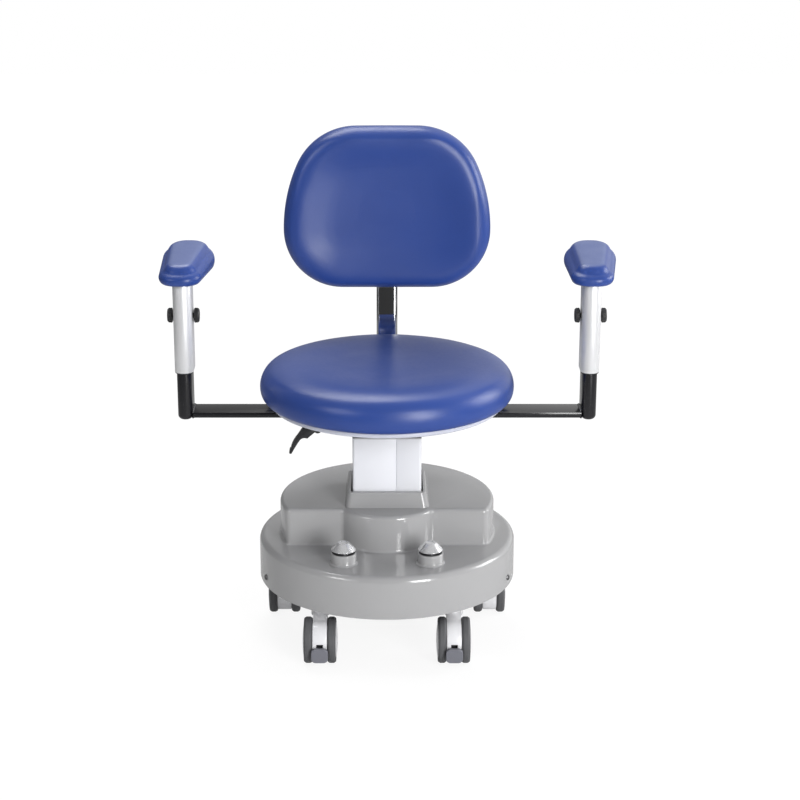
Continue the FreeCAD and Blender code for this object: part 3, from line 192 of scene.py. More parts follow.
def cover_plastic():
    """Glossy moulded grey plastic: slight orange peel, slow shade drift and scuffs low on the skirt."""
    finish = Finish("cover_plastic", {"Specular IOR Level": 0.5, "Coat Roughness": 0.05})
    place = finish.place
    peel = noise(place, 150.0, 2.0)
    drift = noise(place, 6.0, 3.0)
    scuffs = ramp(noise(stretched(place, (60.0, 60.0, 260.0)), 3.0, 5.0, 0.65), 0.58, 0.72)
    low = 1 - ramp(part_of(place, 2), 0.083, 0.118)
    base = tint(drift, (0.315, 0.315, 0.320), (0.350, 0.350, 0.354))
    return finish.feed({
        "Base Color": tint(scuffs * low * 0.4, base, (0.23, 0.23, 0.235)),
        "Roughness": 0.15 + peel * 0.04 + scuffs * low * 0.16,
        "Coat Weight": 0.45 - scuffs * low * 0.3,
        "Normal": relief(peel, 0.05, 0.0008),
    })


def column_paint():
    """White powder coat: fine orange peel, a shade warmer and duller near the collar."""
    finish = Finish("column_paint", {"Specular IOR Level": 0.45})
    place = finish.place
    peel = noise(place, 520.0, 3.0)
    drift = noise(place, 11.0, 3.0)
    # darker and warmer towards the collar, in drifting patches
    near_collar = (1 - ramp(part_of(place, 2), 0.228, 0.262)) * ramp(drift, 0.35, 0.7)
    clean = tint(drift, (0.650, 0.660, 0.702), (0.690, 0.698, 0.736))
    return finish.feed({
        "Base Color": tint(near_collar * 0.45, clean, (0.55, 0.55, 0.55)),
        "Roughness": 0.33 + peel * 0.12,
        "Normal": relief(peel, 0.08, 0.0005),
    })


def black_paint():
    """Glossy black enamel on steel, with a very slight peel and dusty hairlines."""
    finish = Finish("black_paint", {"Specular IOR Level": 0.55, "Coat Roughness": 0.08})
    place = finish.place
    peel = noise(place, 260.0, 2.0)
    hairs = ramp(noise(stretched(place, (14.0, 160.0, 160.0)), 9.0, 3.0), 0.62, 0.72)
    return finish.feed({
        "Base Color": tint(hairs * 0.5, (0.008, 0.008, 0.010), (0.024, 0.024, 0.026)),
        "Roughness": 0.17 + peel * 0.05 + hairs * 0.10,
        "Coat Weight": 0.15 - hairs * 0.1,
        "Normal": relief(peel, 0.02, 0.0005),
    })


def brushed_metal(name, colour, along, rough, depth, metallic=1.0):
    """Metal with a fine grain along one axis and a slow change of shade."""
    finish = Finish(name, {})
    place = finish.place
    scale = [900.0, 900.0, 900.0]
    scale[along] = 14.0
    grain = noise(stretched(place, scale), 1.0, 4.0, 0.6)
    drift = noise(place, 14.0, 3.0)
    dark = tuple(0.86 * channel for channel in colour)
    return finish.feed({
        "Base Color": tint(grain * 0.6 + drift * 0.4, dark, colour),
        "Metallic": metallic,
        "Roughness": rough + grain * 0.10 + drift * 0.04,
        "Normal": relief(grain, depth, 0.0002),
    })


def chrome_plate(name, joggle, bright):
    """Bright plating with faint smears, a very slight ripple and, on a long bar, a slow joggle along it."""
    finish = Finish(name, {"Metallic": 1.0})
    place = finish.place
    smears = ramp(noise(stretched(place, (30.0, 30.0, 12.0)), 1.6, 4.0), 0.45, 0.75)
    ripple = noise(place, 60.0, 2.0) * 0.00002
    bend = ramp(part_of(place, 2), 0.430, 0.500) * joggle
    smeared = tuple(bright * tone for tone in (0.90, 0.91, 0.935))
    return finish.feed({
        "Base Color": tint(smears, smeared, (bright, bright, bright)),
        "Roughness": 0.045 + smears * 0.05,
        "Normal": relief(ripple - bend, 1.0, 1.0),
    })


def zinc_steel():
    """Zinc-plated steel with its crystalline mottling."""
    finish = Finish("zinc_steel", {"Metallic": 1.0})
    place = finish.place
    spangle = cells(place, 260.0, output=1)
    tone = spangle.node("ShaderNodeRGBToBW", {}, {"Color": spangle})
    wear_and_sheen = noise(place, 45.0, 4.0)
    return finish.feed({
        "Base Color": tint(tone * 0.6 + wear_and_sheen * 0.4, (0.42, 0.42, 0.43), (0.62, 0.62, 0.62)),
        "Roughness": 0.28 + wear_and_sheen * 0.16,
        "Normal": relief(wear_and_sheen, 0.06, 0.0004),
    })


def moulded_plastic(name, dark, light, rough, grain, strength, coat=0.0):
    """Moulded plastic with a fine eroded grain and slow shade drift."""
    finish = Finish(name, {"Specular IOR Level": 0.5, "Coat Weight": coat, "Coat Roughness": 0.15})
    place = finish.place
    tooth = noise(place, grain, 3.0, 0.6)
    drift = noise(place, 30.0, 3.0)
    rubbed_and_sheen = ramp(noise(place, 70.0, 4.0), 0.55, 0.75)
    return finish.feed({
        "Base Color": tint(drift * 0.7 + tooth * 0.3, dark, light),
        "Roughness": rough + tooth * 0.10 - rubbed_and_sheen * 0.06,
        "Normal": relief(tooth, strength, 0.0004),
    })


def tyre_rubber():
    """Grey polyurethane tread: matt, with fine circular rubbing and specks of floor dust."""
    finish = Finish("tyre_rubber", {"Specular IOR Level": 0.35})
    place = finish.place
    rub_and_sheen = noise(stretched(place, (700.0, 60.0, 60.0)), 1.0, 4.0)
    dust = ramp(noise(place, 380.0, 4.0, 0.7), 0.60, 0.74)
    body = tint(rub_and_sheen, (0.070, 0.071, 0.075), (0.108, 0.109, 0.115))
    return finish.feed({
        "Base Color": tint(dust * 0.5, body, (0.19, 0.185, 0.175)),
        "Roughness": 0.50 + rub_and_sheen * 0.15 + dust * 0.15,
        "Normal": relief(rub_and_sheen + dust * 0.4, 0.12, 0.0005),
    })


def birch_ply():
    """Birch plywood: layers on the edge and long grain on the faces."""
    finish = Finish("birch_ply", {"Specular IOR Level": 0.3})
    place = finish.place
    layers = place.node("ShaderNodeTexWave", {"bands_direction": "Z"},
                        {"Vector": place, "Scale": 105.0, "Distortion": 0.4})
    grain = noise(stretched(place, (18.0, 240.0, 60.0)), 1.0, 5.0, 0.6)
    wood = tint(grain, (0.42, 0.27, 0.14), (0.62, 0.45, 0.27))
    return finish.feed({
        "Base Color": tint(layers * 0.35, wood, (0.30, 0.18, 0.09)),
        "Roughness": 0.55 + grain * 0.2,
        "Normal": relief(grain, 0.1, 0.0005),
    })


FINISHES = {
    "blue_cover": blue_vinyl(),
    "cover_grey": cover_plastic(),
    "column_white": column_paint(),
    "black_steel": black_paint(),
    "bare_steel": zinc_steel(),
    "aluminium": brushed_metal("satin_aluminium", (0.80, 0.805, 0.82), 2, 0.36, 0.05, 0.5),
    "chrome": chrome_plate("chrome_plate", 0.0, 0.87),
    "plywood": birch_ply(),
    "pan_grey": moulded_plastic("pan_plastic", (0.44, 0.455, 0.53), (0.52, 0.53, 0.60), 0.34, 700.0, 0.06),
    "shell_grey": moulded_plastic("shell_plastic", (0.20, 0.20, 0.215), (0.26, 0.26, 0.275),
                                  0.42, 900.0, 0.14),
    "black_plastic": moulded_plastic("black_plastic", (0.012, 0.012, 0.013), (0.024, 0.024, 0.026),
                                     0.36, 1200.0, 0.10),
    "castor_white": moulded_plastic("castor_nylon", (0.70, 0.70, 0.72), (0.78, 0.78, 0.80),
                                    0.26, 420.0, 0.05, 0.2),
    "tyre_grey": tyre_rubber(),
    "pedal_grey": moulded_plastic("pedal_plastic", (0.125, 0.128, 0.150), (0.165, 0.168, 0.195),
                                  0.38, 800.0, 0.10),
    "drive_grey": moulded_plastic("drive_casing", (0.10, 0.10, 0.105), (0.15, 0.15, 0.155),
                                  0.45, 700.0, 0.12),
    "glide_grey": moulded_plastic("glide_nylon", (0.30, 0.30, 0.31), (0.38, 0.38, 0.39), 0.50, 600.0, 0.08),
}
BAR_CHROME = chrome_plate("bar_chrome", 0.0065, 0.70)
BUTTON_CHROME = brushed_metal("button_chrome", (0.87, 0.875, 0.89), 2, 0.13, 0.03, 0.75)
DARK_STEEL = brushed_metal("blackened_steel", (0.16, 0.16, 0.165), 2, 0.34, 0.06)
OWN_FINISH = {"back_bar": BAR_CHROME}


# Meshes

def patch(made, loop, side, dome):
    """Close a ring with a grid of quads; its first side has a given number of edges, its middle a dome."""
    other = len(loop) // 2 - side
    ring = [corner.co for corner in loop]
    turns = (ring[index - 1].cross(ring[index]) for index in range(len(ring)))
    out = sum(turns, Vector()).normalized() * dome

    def edge(across, along):
        if along == 0:
            return across
        if across == side:
            return side + along
        if along == other:
            return 2 * side + other - across
        return -along

    grid = []
    for across in range(side + 1):
        u = across / side
        row = []
        for along in range(other + 1):
            v = along / other
            if across in (0, side) or along in (0, other):
                row.append(loop[edge(across, along)])
                continue
            spot = ring[edge(across, 0)] * (1 - v) + ring[edge(across, other)] * v
            spot += ring[edge(0, along)] * (1 - u) + ring[edge(side, along)] * u
            spot -= (ring[0] * (1 - u) + ring[side] * u) * (1 - v)
            spot -= (ring[-other] * (1 - u) + ring[side + other] * u) * v
            row.append(made.verts.new(spot + out * (16 * u * (1 - u) * v * (1 - v))))
        grid.append(row)
    for left, right in zip(grid, grid[1:]):
        for along in range(other):
            made.faces.new((left[along], right[along], right[along + 1], left[along + 1]))


def skin(rings, closed=False, side=0, domes=(0.0, 0.0)):
    """A closed mesh through rings of equal count; with a side, its two ends are closed by grids of quads."""
    made = bmesh.new()
    loops = [[made.verts.new(point) for point in ring] for ring in rings]
    count = len(loops[0])
    pairs = list(zip(loops, loops[1:]))
    if closed:
        pairs.append((loops[-1], loops[0]))
    for lower, upper in pairs:
        for here in range(count):
            after = (here + 1) % count
            made.faces.new((lower[here], lower[after], upper[after], upper[here]))
    for loop, dome in zip((loops[0], loops[-1]), domes):
        if side:
            patch(made, loop, side, dome)
        elif not closed:
            made.faces.new(loop)
    bmesh.ops.recalc_face_normals(made, faces=made.faces)
    mesh = bpy.data.meshes.new("skin")
    made.to_mesh(mesh)
    made.free()
    return mesh


def rounded(corners, steps=5):
    """A line through corners (x, y, radius) with each corner turned into an arc."""
    line = []
    for index, (x, y, radius) in enumerate(corners):
        if radius == 0 or index in (0, len(corners) - 1):
            line.append((x, y))
            continue
        corner = Vector((x, y))
        before = Vector(corners[index - 1][:2]) - corner
        after = Vector(corners[index + 1][:2]) - corner
        half = before.angle(after) / 2
        reach = min(radius / math.tan(half), 0.49 * before.length, 0.49 * after.length)
        start = corner + before.normalized() * reach
        end = corner + after.normalized() * reach
        for step in range(steps + 1):
            share = step / steps
            bent = start.lerp(corner, share).lerp(corner.lerp(end, share), share)
            line.append(tuple(bent))
    return line


def turned(profile, turns=96, lobes=0, bite=0.0, closed=False, domes=None):
    """A profile of (radius, height) in millimetres turned about Z, with lobes cut into its rim if asked."""
    rings = []
    for radius, height in profile:
        ring = []
        for turn in range(turns):
            angle = math.tau * turn / turns
            notch = (0.5 - 0.5 * math.cos(lobes * angle)) ** 2
            wide = max(radius, 0.02) - bite * min(1.0, radius / 10) * notch
            ring.append((wide * math.cos(angle) * MM, wide * math.sin(angle) * MM, height * MM))
        rings.append(ring)
    return skin(rings, closed, turns // 4 if domes else 0, domes or (0.0, 0.0))


def block(centre, size):
    """A box by its centre and size, in metres."""
    made = bmesh.new()
    bmesh.ops.create_cube(made, size=1.0, matrix=Matrix.Translation(centre) @ Matrix.Diagonal((*size, 1.0)))
    mesh = bpy.data.meshes.new("block")
    made.to_mesh(mesh)
    made.free()
    return mesh


def moved(mesh, place, facing=(0.0, 0.0, 1.0)):
    """The mesh with its Z axis turned to a direction and its origin put at a place in metres."""
    turn = Vector((0.0, 0.0, 1.0)).rotation_difference(Vector(facing)).to_matrix().to_4x4()
    mesh.transform(Matrix.Translation(place) @ turn)
    return mesh


def joined(meshes):
    """Several meshes as one."""
    made = bmesh.new()
    for mesh in meshes:
        made.from_mesh(mesh)
    result = bpy.data.meshes.new("joined")
    made.to_mesh(result)
    made.free()
    return result


def merged_copy(node):
    """A CAD node's triangles as one skin, with its flat faces joined."""
    source = NODES[node].data
    mesh = bpy.data.meshes.new(node)
    mesh.from_pydata([corner.co for corner in source.vertices], [],
                     [face.vertices for face in source.polygons])
    made = bmesh.new()
    made.from_mesh(mesh)
    bmesh.ops.remove_doubles(made, verts=made.verts, dist=2e-6)
    bmesh.ops.dissolve_limit(made, angle_limit=math.radians(0.25), verts=made.verts, edges=made.edges)
    made.to_mesh(mesh)
    made.free()
    return mesh


def reworked(mesh, kind, settings):
    """The mesh after one modifier."""
    carrier = bpy.data.objects.new("carrier", mesh)
    scene.collection.objects.link(carrier)
    modifier = carrier.modifiers.new("work", kind)
    for name, value in settings.items():
        setattr(modifier, name, value)
    result = bpy.data.meshes.new_from_object(carrier.evaluated_get(bpy.context.evaluated_depsgraph_get()))
    bpy.data.objects.remove(carrier)
    return result


def softened(mesh, width):
    """The mesh with its sharp edges rounded, width in millimetres."""
    return reworked(mesh, "BEVEL", {"width": width * MM, "segments": 2, "limit_method": "ANGLE",
                                    "angle_limit": math.radians(40), "use_clamp_overlap": True})


def subdivided(mesh):
    return reworked(mesh, "SUBSURF", {"levels": 1, "render_levels": 1})


def add_piece(name, mesh, body, slot, nodes=(), crease=35, finish=None):
    """Put a mesh in the scene as a piece that moves with a body, in its slot's finish or one of its own."""
    mesh.name = name
    mesh.materials.clear()
    mesh.materials.append(finish or FINISHES[slot])
    mesh.polygons.foreach_set("use_smooth", [True] * len(mesh.polygons))
    mesh.set_sharp_from_angle(angle=math.radians(crease))
    piece = bpy.data.objects.new(name, mesh)
    scene.collection.objects.link(piece)
    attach(piece, body)
    if nodes:
        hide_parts(*nodes)
    return piece


def dressed(node, edge):
    """A CAD node's own shape with smooth shading, rounded edges and its finish."""
    mesh = merged_copy(node)
    if edge:
        mesh = softened(mesh, edge)
    add_piece(f"{node}_skin", mesh, BODY_OF[node], SLOT_OF[node], (node,), 30, OWN_FINISH.get(node))


# Geometry Nodes

def new_tree(name, inputs):
    """An empty tree with a geometry input and output and named sizes: (tree, input wires by name)."""
    tree = bpy.data.node_groups.new(name, "GeometryNodeTree")
    tree.interface.new_socket("Geometry", in_out="INPUT", socket_type="NodeSocketGeometry")
    tree.interface.new_socket("Geometry", in_out="OUTPUT", socket_type="NodeSocketGeometry")
    for label, kind in inputs.items():
        tree.interface.new_socket(label, in_out="INPUT", socket_type=f"NodeSocket{kind}")
    start = tree.nodes.new("NodeGroupInput")
    return tree, {socket.name: Wire(tree, socket) for socket in start.outputs if socket.name}


def end_tree(tree, instances, finish):
    """Realize the instances, give them their finish and close the tree."""
    real = instances.node("GeometryNodeRealizeInstances", {}, {"Geometry": instances})
    painted = real.node("GeometryNodeSetMaterial", {}, {"Geometry": real, "Material": finish})
    end = tree.nodes.new("NodeGroupOutput")
    tree.links.new(painted.socket, end.inputs[0])
    return tree


def screw_tree():
    """Pan-head screws with a cross recess, one at each point, facing along the point's own direction."""
    tree, given = new_tree("cross_head_screws", {"Head radius": "Float", "Head height": "Float",
                                                 "Finish": "Material"})
    points = given["Geometry"]
    radius, height = given["Head radius"], given["Head height"]
    head = points.node("GeometryNodeMeshCone", {}, {"Vertices": 28, "Radius Top": radius * 0.72,
                                                    "Radius Bottom": radius, "Depth": height})
    bar_size = points.node("ShaderNodeCombineXYZ", {}, {"X": radius * 1.1, "Y": radius * 0.24, "Z": height})
    bar = points.node("GeometryNodeMeshCube", {}, {"Size": bar_size})
    lift = points.node("ShaderNodeCombineXYZ", {}, {"Z": height * 0.9})
    one = bar.node("GeometryNodeTransform", {}, {"Geometry": bar, "Translation": lift})
    two = bar.node("GeometryNodeTransform", {}, {"Geometry": bar, "Translation": lift,
                                                 "Rotation": (0.0, 0.0, math.pi / 2)})
    cross = head
    for cutter in (one, two):
        cross = cross.node("GeometryNodeMeshBoolean", {"operation": "DIFFERENCE"},
                           {"Mesh 1": cross, "Mesh 2": cutter})
    facing = points.node("GeometryNodeInputNamedAttribute", {"data_type": "FLOAT_VECTOR"}, {"Name": "facing"})
    turn = facing.node("FunctionNodeAlignRotationToVector", {"axis": "Z"}, {"Vector": facing})
    spread = points.node("GeometryNodeInstanceOnPoints", {}, {"Points": points, "Instance": cross,
                                                              "Rotation": turn})
    chance = spread.node("FunctionNodeRandomValue", {"data_type": "FLOAT"}, {"Max": math.pi, "Seed": 7}, 1)
    spin = chance.node("ShaderNodeCombineXYZ", {}, {"Z": chance})
    turned_heads = spread.node("GeometryNodeRotateInstances", {}, {"Instances": spread, "Rotation": spin})
    return end_tree(tree, turned_heads, given["Finish"])


def grip_tree():
    """Rounded ribs standing round the rim of a knob, joined to the knob itself."""
    tree, given = new_tree("knob_grip", {"Rim radius": "Float", "Rib radius": "Float", "Rib length": "Float",
                                         "Rib height": "Float", "Ribs": "Int", "Finish": "Material"})
    knob = given["Geometry"]
    rim = knob.node("GeometryNodeMeshCircle", {}, {"Vertices": given["Ribs"], "Radius": given["Rim radius"]})
    rib = knob.node("GeometryNodeMeshCone", {}, {"Vertices": 10, "Radius Top": given["Rib radius"] * 0.7,
                                                 "Radius Bottom": given["Rib radius"],
                                                 "Depth": given["Rib length"]})
    lift = knob.node("ShaderNodeCombineXYZ", {}, {"Z": given["Rib height"]})
    raised = rib.node("GeometryNodeTransform", {}, {"Geometry": rib, "Translation": lift})
    ribs = rim.node("GeometryNodeInstanceOnPoints", {}, {"Points": rim, "Instance": raised})
    both = knob.node("GeometryNodeJoinGeometry", {}, {"Geometry": ribs})
    tree.links.new(knob.socket, both.socket.node.inputs[0])
    return end_tree(tree, both, given["Finish"])


def weld_tree():
    """A run of weld scales along a path."""
    tree, given = new_tree("weld_run", {"Spacing": "Float", "Scale radius": "Float", "Finish": "Material"})
    path = given["Geometry"]
    line = path.node("GeometryNodeMeshToCurve", {}, {"Mesh": path})
    steps = line.node("GeometryNodeResampleCurve", {"mode": "LENGTH"},
                      {"Curve": line, "Length": given["Spacing"]})
    scale = path.node("GeometryNodeMeshIcoSphere", {}, {"Radius": given["Scale radius"], "Subdivisions": 2})
    tangent = path.node("GeometryNodeInputTangent")
    turn = tangent.node("FunctionNodeAlignRotationToVector", {"axis": "Z"}, {"Vector": tangent})
    size = path.node("FunctionNodeRandomValue", {"data_type": "FLOAT"},
                     {"Min": 0.82, "Max": 1.08, "Seed": 3}, 1)
    scales = steps.node("GeometryNodeInstanceOnPoints", {}, {"Points": steps, "Instance": scale,
                                                             "Rotation": turn, "Scale": size})
    return end_tree(tree, scales, given["Finish"])


def grown(tree, mesh, sizes):
    """The plain mesh that a tree makes from a mesh, with its named sizes set."""
    carrier = bpy.data.objects.new("carrier", mesh)
    modifier = carrier.modifiers.new("tree", "NODES")
    modifier.node_group = tree
    for item in tree.interface.items_tree:
        if item.in_out == "INPUT" and item.name in sizes:
            modifier[item.identifier] = sizes[item.name]
    scene.collection.objects.link(carrier)
    result = bpy.data.meshes.new_from_object(carrier.evaluated_get(bpy.context.evaluated_depsgraph_get()))
    bpy.data.objects.remove(carrier)
    return result


SCREWS = screw_tree()
GRIP = grip_tree()
WELD = weld_tree()


def spots(places, facings):
    """Points with a facing direction each, as a mesh of loose corners."""
    mesh = bpy.data.meshes.new("spots")
    mesh.from_pydata(places, [], [])
    facing = mesh.attributes.new("facing", "FLOAT_VECTOR", "POINT")
    facing.data.foreach_set("vector", [number for direction in facings for number in direction])
    return mesh


def run(points):
    """A path of straight edges through points."""
    mesh = bpy.data.meshes.new("run")
    mesh.from_pydata(points, [(index, index + 1) for index in range(len(points) - 1)], [])
    return mesh


# Upholstery

def smooth_line(points, steps=4):
    """A soft curve through points (Catmull-Rom)."""
    padded = [points[0], *points, points[-1]]
    line = []
    for index in range(1, len(padded) - 2):
        before, start, end, after = (np.array(padded[index + shift], float) for shift in (-1, 0, 1, 2))
        for step in range(steps):
            t = step / steps
            line.append(tuple(0.5 * (2 * start + (end - before) * t
                                     + (2 * before - 5 * start + 4 * end - after) * t ** 2
                                     + (3 * start - before - 3 * end + after) * t ** 3)))
    line.append(tuple(points[-1]))
    return line


def inflated(name, mesh, stays, cap):
    """Fill a soft mesh by a pressure simulation, with some points fixed and each point's travel capped."""
    held = [corner.index for corner in mesh.vertices if stays(corner.co)]
    carrier = bpy.data.objects.new(name, mesh)
    scene.collection.objects.link(carrier)
    carrier.vertex_groups.new(name="held").add(held, 1.0, "REPLACE")
    cloth = carrier.modifiers.new("filling", "CLOTH")
    cloth.settings.quality = 6
    cloth.settings.mass = 0.35
    cloth.settings.tension_stiffness = 25.0
    cloth.settings.compression_stiffness = 25.0
    cloth.settings.shear_stiffness = 12.0
    cloth.settings.bending_stiffness = 4.0
    cloth.settings.use_pressure = True
    cloth.settings.uniform_pressure_force = 4.0
    cloth.settings.vertex_group_mass = "held"
    cloth.settings.effector_weights.gravity = 0.0
    cloth.collision_settings.use_collision = False
    cloth.point_cache.frame_start = 1
    cloth.point_cache.frame_end = FILL_FRAMES
    rest = np.array([corner.co for corner in mesh.vertices])
    for number in range(1, FILL_FRAMES + 1):
        scene.frame_set(number)
    filled = carrier.evaluated_get(bpy.context.evaluated_depsgraph_get()).data
    travel = np.array([corner.co for corner in filled.vertices]) - rest
    length = np.maximum(np.linalg.norm(travel, axis=1, keepdims=True), 1e-9)
    travel *= np.minimum(1.0, cap * MM / length)
    ends = np.array([edge.vertices for edge in mesh.edges])
    shares = np.bincount(ends.ravel(), minlength=len(rest))[:, None]
    for _ in range(EVEN_ROUNDS):
        spread = np.zeros_like(travel)
        np.add.at(spread, ends[:, 0], travel[ends[:, 1]])
        np.add.at(spread, ends[:, 1], travel[ends[:, 0]])
        travel = spread / shares
        travel[held] = 0.0
    bpy.data.objects.remove(carrier)
    scene.frame_set(1)
    mesh.vertices.foreach_set("co", (rest + travel).ravel())
    mesh.update()
    return mesh


def rub_and_sheen(mesh, share):
    """Store on a soft mesh a painted sheen: how much paler its upward faces, by their normals, are painted.
    """
    start, span = 0.80, 0.18
    wear_and_sheen = mesh.attributes.new("rubbed_and_sheen", "FLOAT", "POINT")
    level = np.clip((np.array([corner.normal.z for corner in mesh.vertices]) - start) / span, 0.0, 1.0)
    wear_and_sheen.data.foreach_set("value", share * level ** 2 * (3 - 2 * level))


def dish(mesh, front, sunk, across, tall):
    """Sink the middle of a cushion's front face, most along its upright centre line."""
    depth, fade = 0.026, 0.020
    middle = sum(corner.co.z for corner in mesh.vertices) / len(mesh.vertices)
    for corner in mesh.vertices:
        facing = min(max((front + depth - corner.co.y) / fade, 0.0), 1.0)
        side = max(1 - (corner.co.x / across) ** 2, 0.0)
        height = max(1 - ((corner.co.z - middle) / tall) ** 4, 0.0)
        corner.co.y += sunk * facing * side * height
    mesh.update()


def seat_upholstery():
    """The round cushion: rolled rim, shallow dish, and a recess below for the board."""
    low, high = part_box("seat_cushion")
    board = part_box("seat_board")[1]
    wide = high.x / MM
    bottom, crest = low.z / MM, high.z / MM
    recess = board.x / MM + 0.4
    roof = board.z / MM + 0.4
    under = [(60, roof), (120, roof), (recess - 1, roof), (recess, roof - 1), (recess, bottom + 1),
             (recess + 0.8, bottom + 0.2), (wide - 17.5, bottom + 0.2)]
    over = smooth_line([(wide - 17.5, bottom + 0.2), (wide - 9, bottom + 2), (wide - 3, bottom + 8.5),
                        (wide - 0.8, bottom + 18), (wide - 1.6, bottom + 29), (wide - 6, bottom + 40),
                        (wide - 15, bottom + 49), (wide - 30, bottom + 54.2), (wide - 48, bottom + 56.2),
                        (wide - 66, bottom + 56.4), (wide - 90, bottom + 55.4), (80, crest - 4.2),
                        (60, crest - 4.8)])
    mesh = turned(under + over[1:], 200, domes=(0.0, -0.8 * MM))
    ceiling, edge = roof * MM + 0.0002, (recess + 2) * MM
    mesh = inflated("seat_filling", mesh, lambda spot: spot.z < ceiling and spot.xy.length < edge, 1.6)
    mesh = subdivided(mesh)
    # painted sheen: the seat's upward faces are painted a little paler
    rub_and_sheen(mesh, 0.12)
    piece = add_piece("seat_upholstery", mesh, "seat", "blue_cover", ("seat_cushion",), 60)


def back_outline(inset, count=200):
    """Points (x, z) evenly spaced round the backrest's outline, drawn in by the inset, in millimetres."""
    low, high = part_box("back_cushion")
    wide, bottom, top = high.x / MM, low.z / MM, high.z / MM
    foot, side, rise = 94.0, 258.0, 200.0
    slope = (rise - foot) / side
    level = math.sqrt(1 - slope * slope)
    brow = (top - bottom - rise) / (1 - slope)
    side_centre = (wide - side, bottom + foot)
    brow_centre = (side_centre[0] + (side - brow) * level, top - brow)
    arcs = (((wide - foot, bottom + foot), foot, -math.pi / 2, 0.0),
            (side_centre, side, 0.0, math.asin(slope)),
            (brow_centre, brow, math.asin(slope), math.pi / 2))
    half = []
    for (x, z), radius, start, end in arcs:
        for step in range(40):
            angle = start + (end - start) * step / 39
            half.append((x + (radius - inset) * math.cos(angle), z + (radius - inset) * math.sin(angle)))
    loop = np.array(half + [(-x, z) for x, z in reversed(half)] + half[:1])
    run_length = np.concatenate([[0.0], np.cumsum(np.linalg.norm(np.diff(loop, axis=0), axis=1))])
    even = (np.linspace(0.0, run_length[-1], count, endpoint=False) + 55.0) % run_length[-1]
    return np.stack([np.interp(even, run_length, loop[:, axis]) for axis in (0, 1)], axis=1)


def back_upholstery():
    """The backrest cushion: a rolled border round a shallow dished face."""
    low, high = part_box("back_cushion")
    back = high.y / MM
    centre = np.array([0.0, (low.z + high.z) / 2 / MM + 4])
    rear = [(70.0, 0.0), (30.0, 0.0), (9.0, 0.0)]
    roll = smooth_line([(9.0, 0.0), (3.0, 3.0), (0.8, 11.0), (1.2, 21.0), (4.5, 31.0), (10.5, 38.3),
                        (18.0, 42.0), (26.0, 43.0), (36.0, 42.3), (49.0, 40.5), (64.0, 38.6), (82.0, 37.0)])
    rings = []
    for share in (0.5, 0.75):
        ring = centre + (back_outline(rear[0][0]) - centre) * share
        rings.append([(x * MM, back * MM, z * MM) for x, z in ring])
    for inset, depth in rear + roll[1:]:
        rings.append([(x * MM, (back - depth) * MM, z * MM) for x, z in back_outline(inset)])
    last = back_outline(roll[-1][0])
    for share in (0.85, 0.7, 0.55):
        floor = roll[-1][1] - 1.6 * (1 - share ** 2)
        rings.append([(x * MM, (back - floor) * MM, z * MM) for x, z in centre + (last - centre) * share])
    mesh = skin(rings, side=50, domes=(0.0, 0.4 * MM))
    mesh = inflated("back_filling", mesh, lambda spot: spot.y > high.y - 0.0001, 1.8)
    dish(mesh, low.y, 11 * MM, 0.142, 0.116)
    mesh = subdivided(mesh)
    piece = add_piece("back_upholstery", mesh, "backrest", "blue_cover", ("back_cushion",), 60)


def pad_outline(inset):
    """Points (x, y) round an arm pad, in millimetres from its pivot: round ends, narrower in front."""
    blunt, front, rear, nose, tail = 3.0, 33.0, 40.5, -49.5, 105.5
    bend, turn = front - blunt, rear - blunt
    corners = ((-blunt, nose + bend, bend), (blunt, nose + bend, bend), (blunt, tail - turn, turn),
               (-blunt, tail - turn, turn))

    def on_arc(corner, angle):
        x, y, radius = corners[corner % 4]
        return np.array([x + (radius - inset) * math.cos(angle), y + (radius - inset) * math.sin(angle)])

    loop = []
    for index in range(4):
        start = math.pi * (1 + index / 2)
        arc = [on_arc(index, start + math.pi / 2 * step / 18) for step in range(19)]
        after = on_arc(index + 1, start + math.pi / 2)
        steps = 36 if index % 2 else 8
        loop += arc + [arc[-1] + (after - arc[-1]) * step / steps for step in range(1, steps)]
    return np.array(loop[9:] + loop[:9])


def arm_pad_skin(side):
    """A moulded pad that rises to the rear: rounded skirt, narrow shelf and a raised crown."""
    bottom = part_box(f"arm_pad_{side}")[0].z
    recess = (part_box(f"arm_pad_plate_{side}")[1].z - bottom) / MM + 0.6
    sole = [(20.0, recess), (12.4, recess), (11.6, recess - 0.6), (11.6, 0.6), (10.8, 0.0), (8.5, 0.0)]
    wall = smooth_line([(8.5, 0.0), (5.0, 1.0), (1.8, 5.0), (0.4, 10.0), (0.7, 14.5), (2.4, 18.2),
                        (4.8, 20.7), (6.9, 22.3), (8.5, 24.2), (10.0, 26.8), (12.0, 29.6), (15.0, 32.0),
                        (19.0, 33.4), (24.0, 33.9)])
    shelf = 21.5
    rings = [[(x, y, height) for x, y in pad_outline(inset)] for inset, height in sole]
    for inset, height in wall[1:]:
        rise = math.tan(PAD_SLOPE * min(height / shelf, 1.0))
        rings.append([(x, y, height + y * rise) for x, y in pad_outline(inset)])
    pivot = Vector((SIDES[side] * PAD_PIVOT, 0.0, bottom))
    turn = Matrix.Translation(pivot) @ Matrix.Rotation(PAD_YAW, 4, "Z") @ Matrix.Scale(MM, 4)
    rings = [[turn @ Vector(point) for point in ring] for ring in rings]
    mesh = subdivided(skin(rings, side=26, domes=(0.0, 0.3 * MM)))
    # painted sheen: the pad's upward faces are painted much paler
    rub_and_sheen(mesh, 0.75)
    piece = add_piece(f"arm_pad_{side}_skin", mesh, f"pad_{side}", "blue_cover", (f"arm_pad_{side}",), 60)


# Castors

